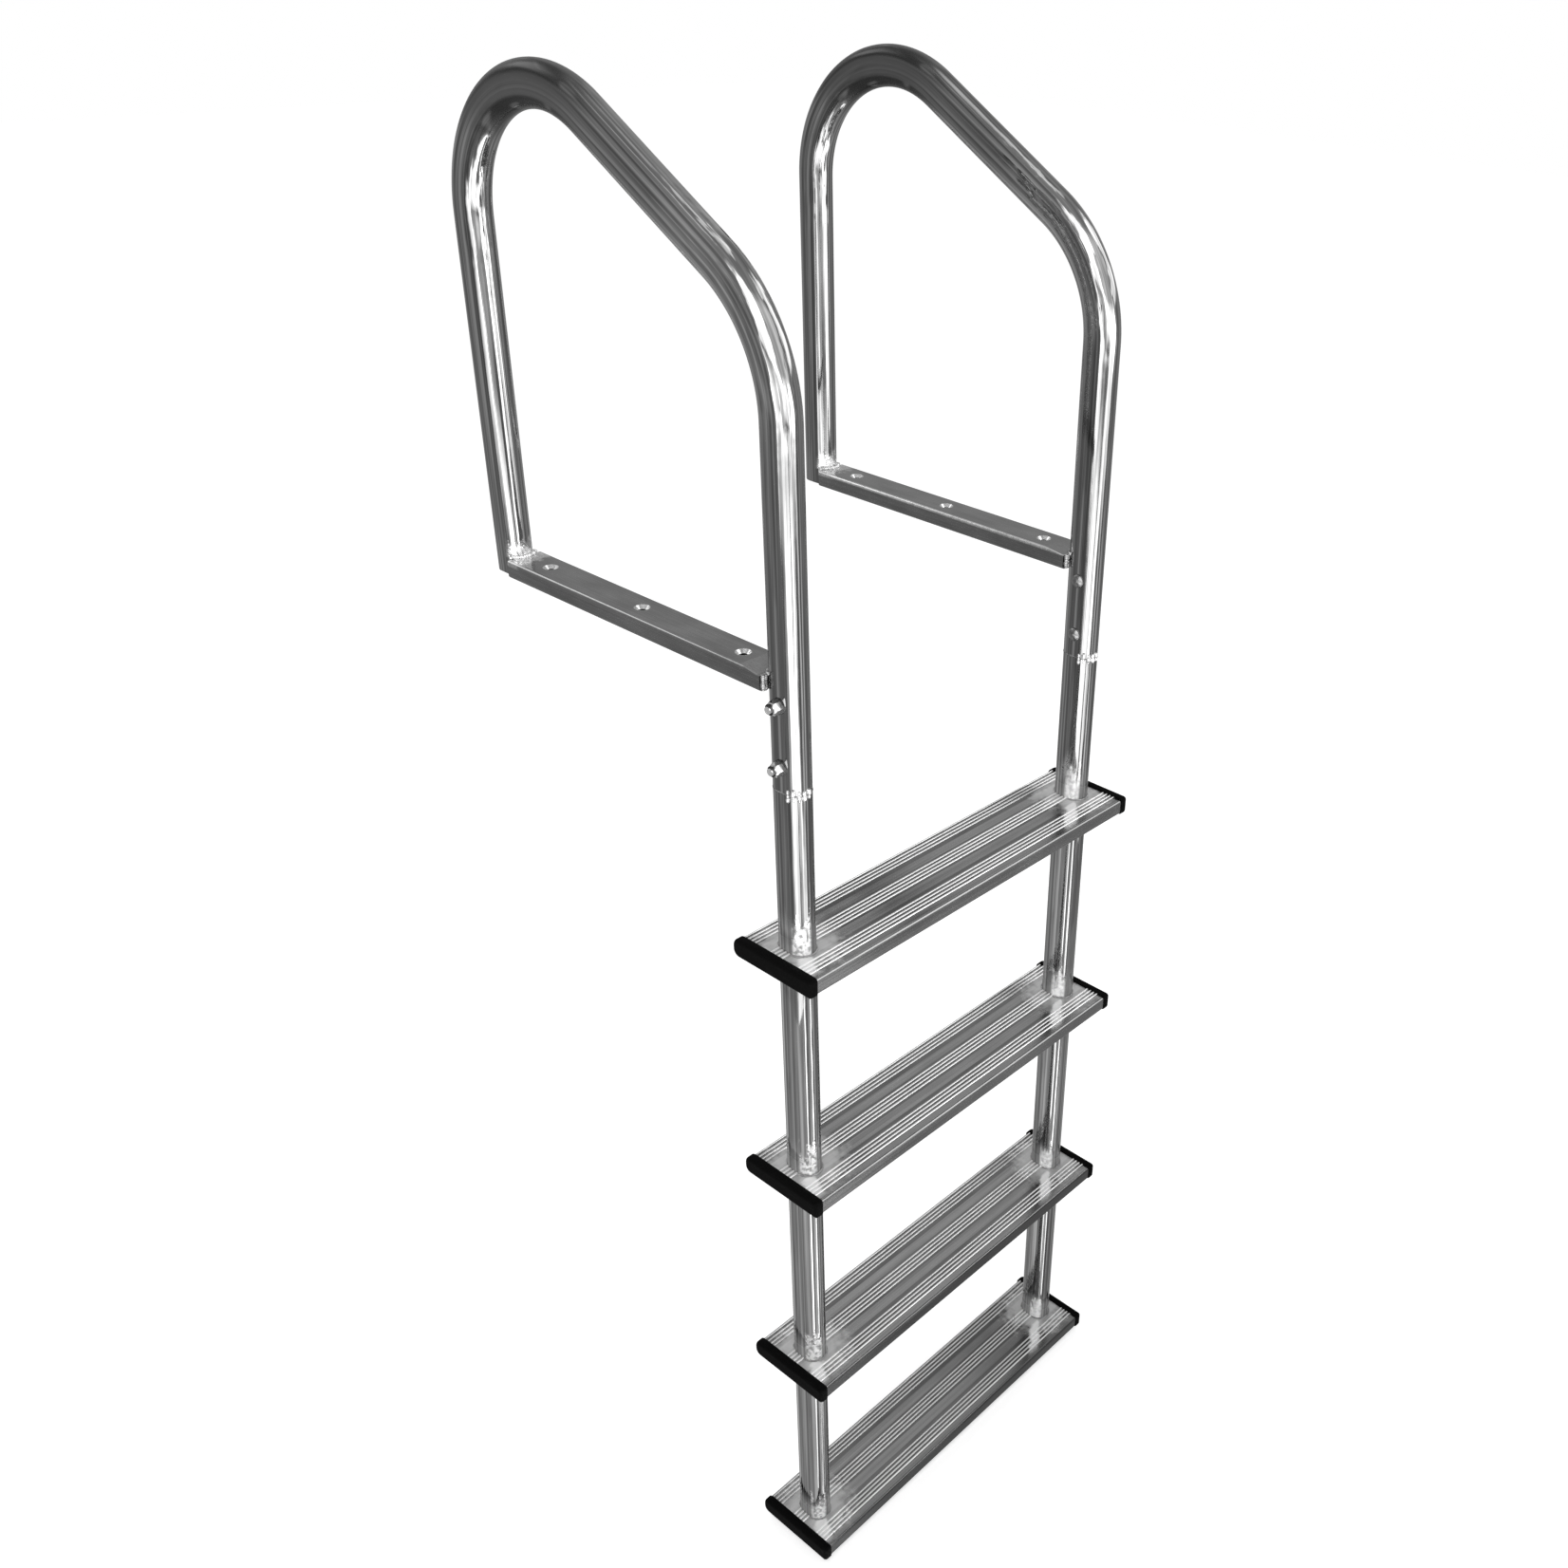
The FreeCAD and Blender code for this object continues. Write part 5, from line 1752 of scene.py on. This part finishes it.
@dataclass(frozen=True)
class Viewpoint:
    """The photograph's viewpoint: place in metres, turns in radians, lens in pixels."""

    place: tuple[float, float, float] = (-0.92767, -1.06865, 0.66315)
    pan: float = 0.9050
    tilt: float = 0.52321
    roll: float = 0.05414
    focal: float = 1659.43
    centre: tuple[float, float] = (1082.60, 859.07)
    frame_size: float = 1652.0
    sensor: float = 36.0
    clip: tuple[float, float] = (0.01, 100.0)

    def build(self) -> None:
        """Make the camera and use it."""
        data = bpy.data.cameras.new("viewpoint")
        data.sensor_width = self.sensor
        data.lens = self.focal * self.sensor / self.frame_size
        data.shift_x = (self.frame_size / 2 - self.centre[0]) / self.frame_size
        data.shift_y = (self.centre[1] - self.frame_size / 2) / self.frame_size
        data.clip_start, data.clip_end = self.clip
        ahead = Vector((math.sin(self.pan), math.cos(self.pan), 0.0))
        forward = ahead * math.cos(self.tilt) - Vector((0.0, 0.0, math.sin(self.tilt)))
        level = Vector((math.cos(self.pan), -math.sin(self.pan), 0.0))
        upward = level.cross(forward)
        right = math.cos(self.roll) * level + math.sin(self.roll) * upward
        up = -math.sin(self.roll) * level + math.cos(self.roll) * upward
        turn = Matrix((right, up, -forward)).transposed().to_4x4()
        camera = add_object("viewpoint", data)
        camera.matrix_world = Matrix.Translation(Vector(self.place)) @ turn
        bpy.context.scene.camera = camera


def main() -> None:
    """Build the viewpoint, the ladder's pieces and the studio in order."""
    logging.basicConfig(level=logging.INFO, format="%(message)s")
    bpy.context.scene.view_settings.view_transform = "Standard"
    Viewpoint().build()
    finishes = Finishes()
    log.info("finishes on %d packed nodes", finishes.dress_packed_nodes())
    tube_tree, pieces = TubeTree(), []
    for side in Side:
        pieces += RailTube(side, tube_tree, finishes.by_slot["rail_tube"]).build()
    pieces += WeldSet(BeadTree(), finishes.welds).build()
    for number in range(1, SIZES.step_count + 1):
        for side in Side:
            pieces.append(EndCap(number, side, finishes.by_slot["cap_plastic"]).build())
    for piece in pieces:
        log.info("%s: %d faces", piece.name, len(piece.data.polygons))
    Studio().build()


if __name__ == "__main__":
    main()
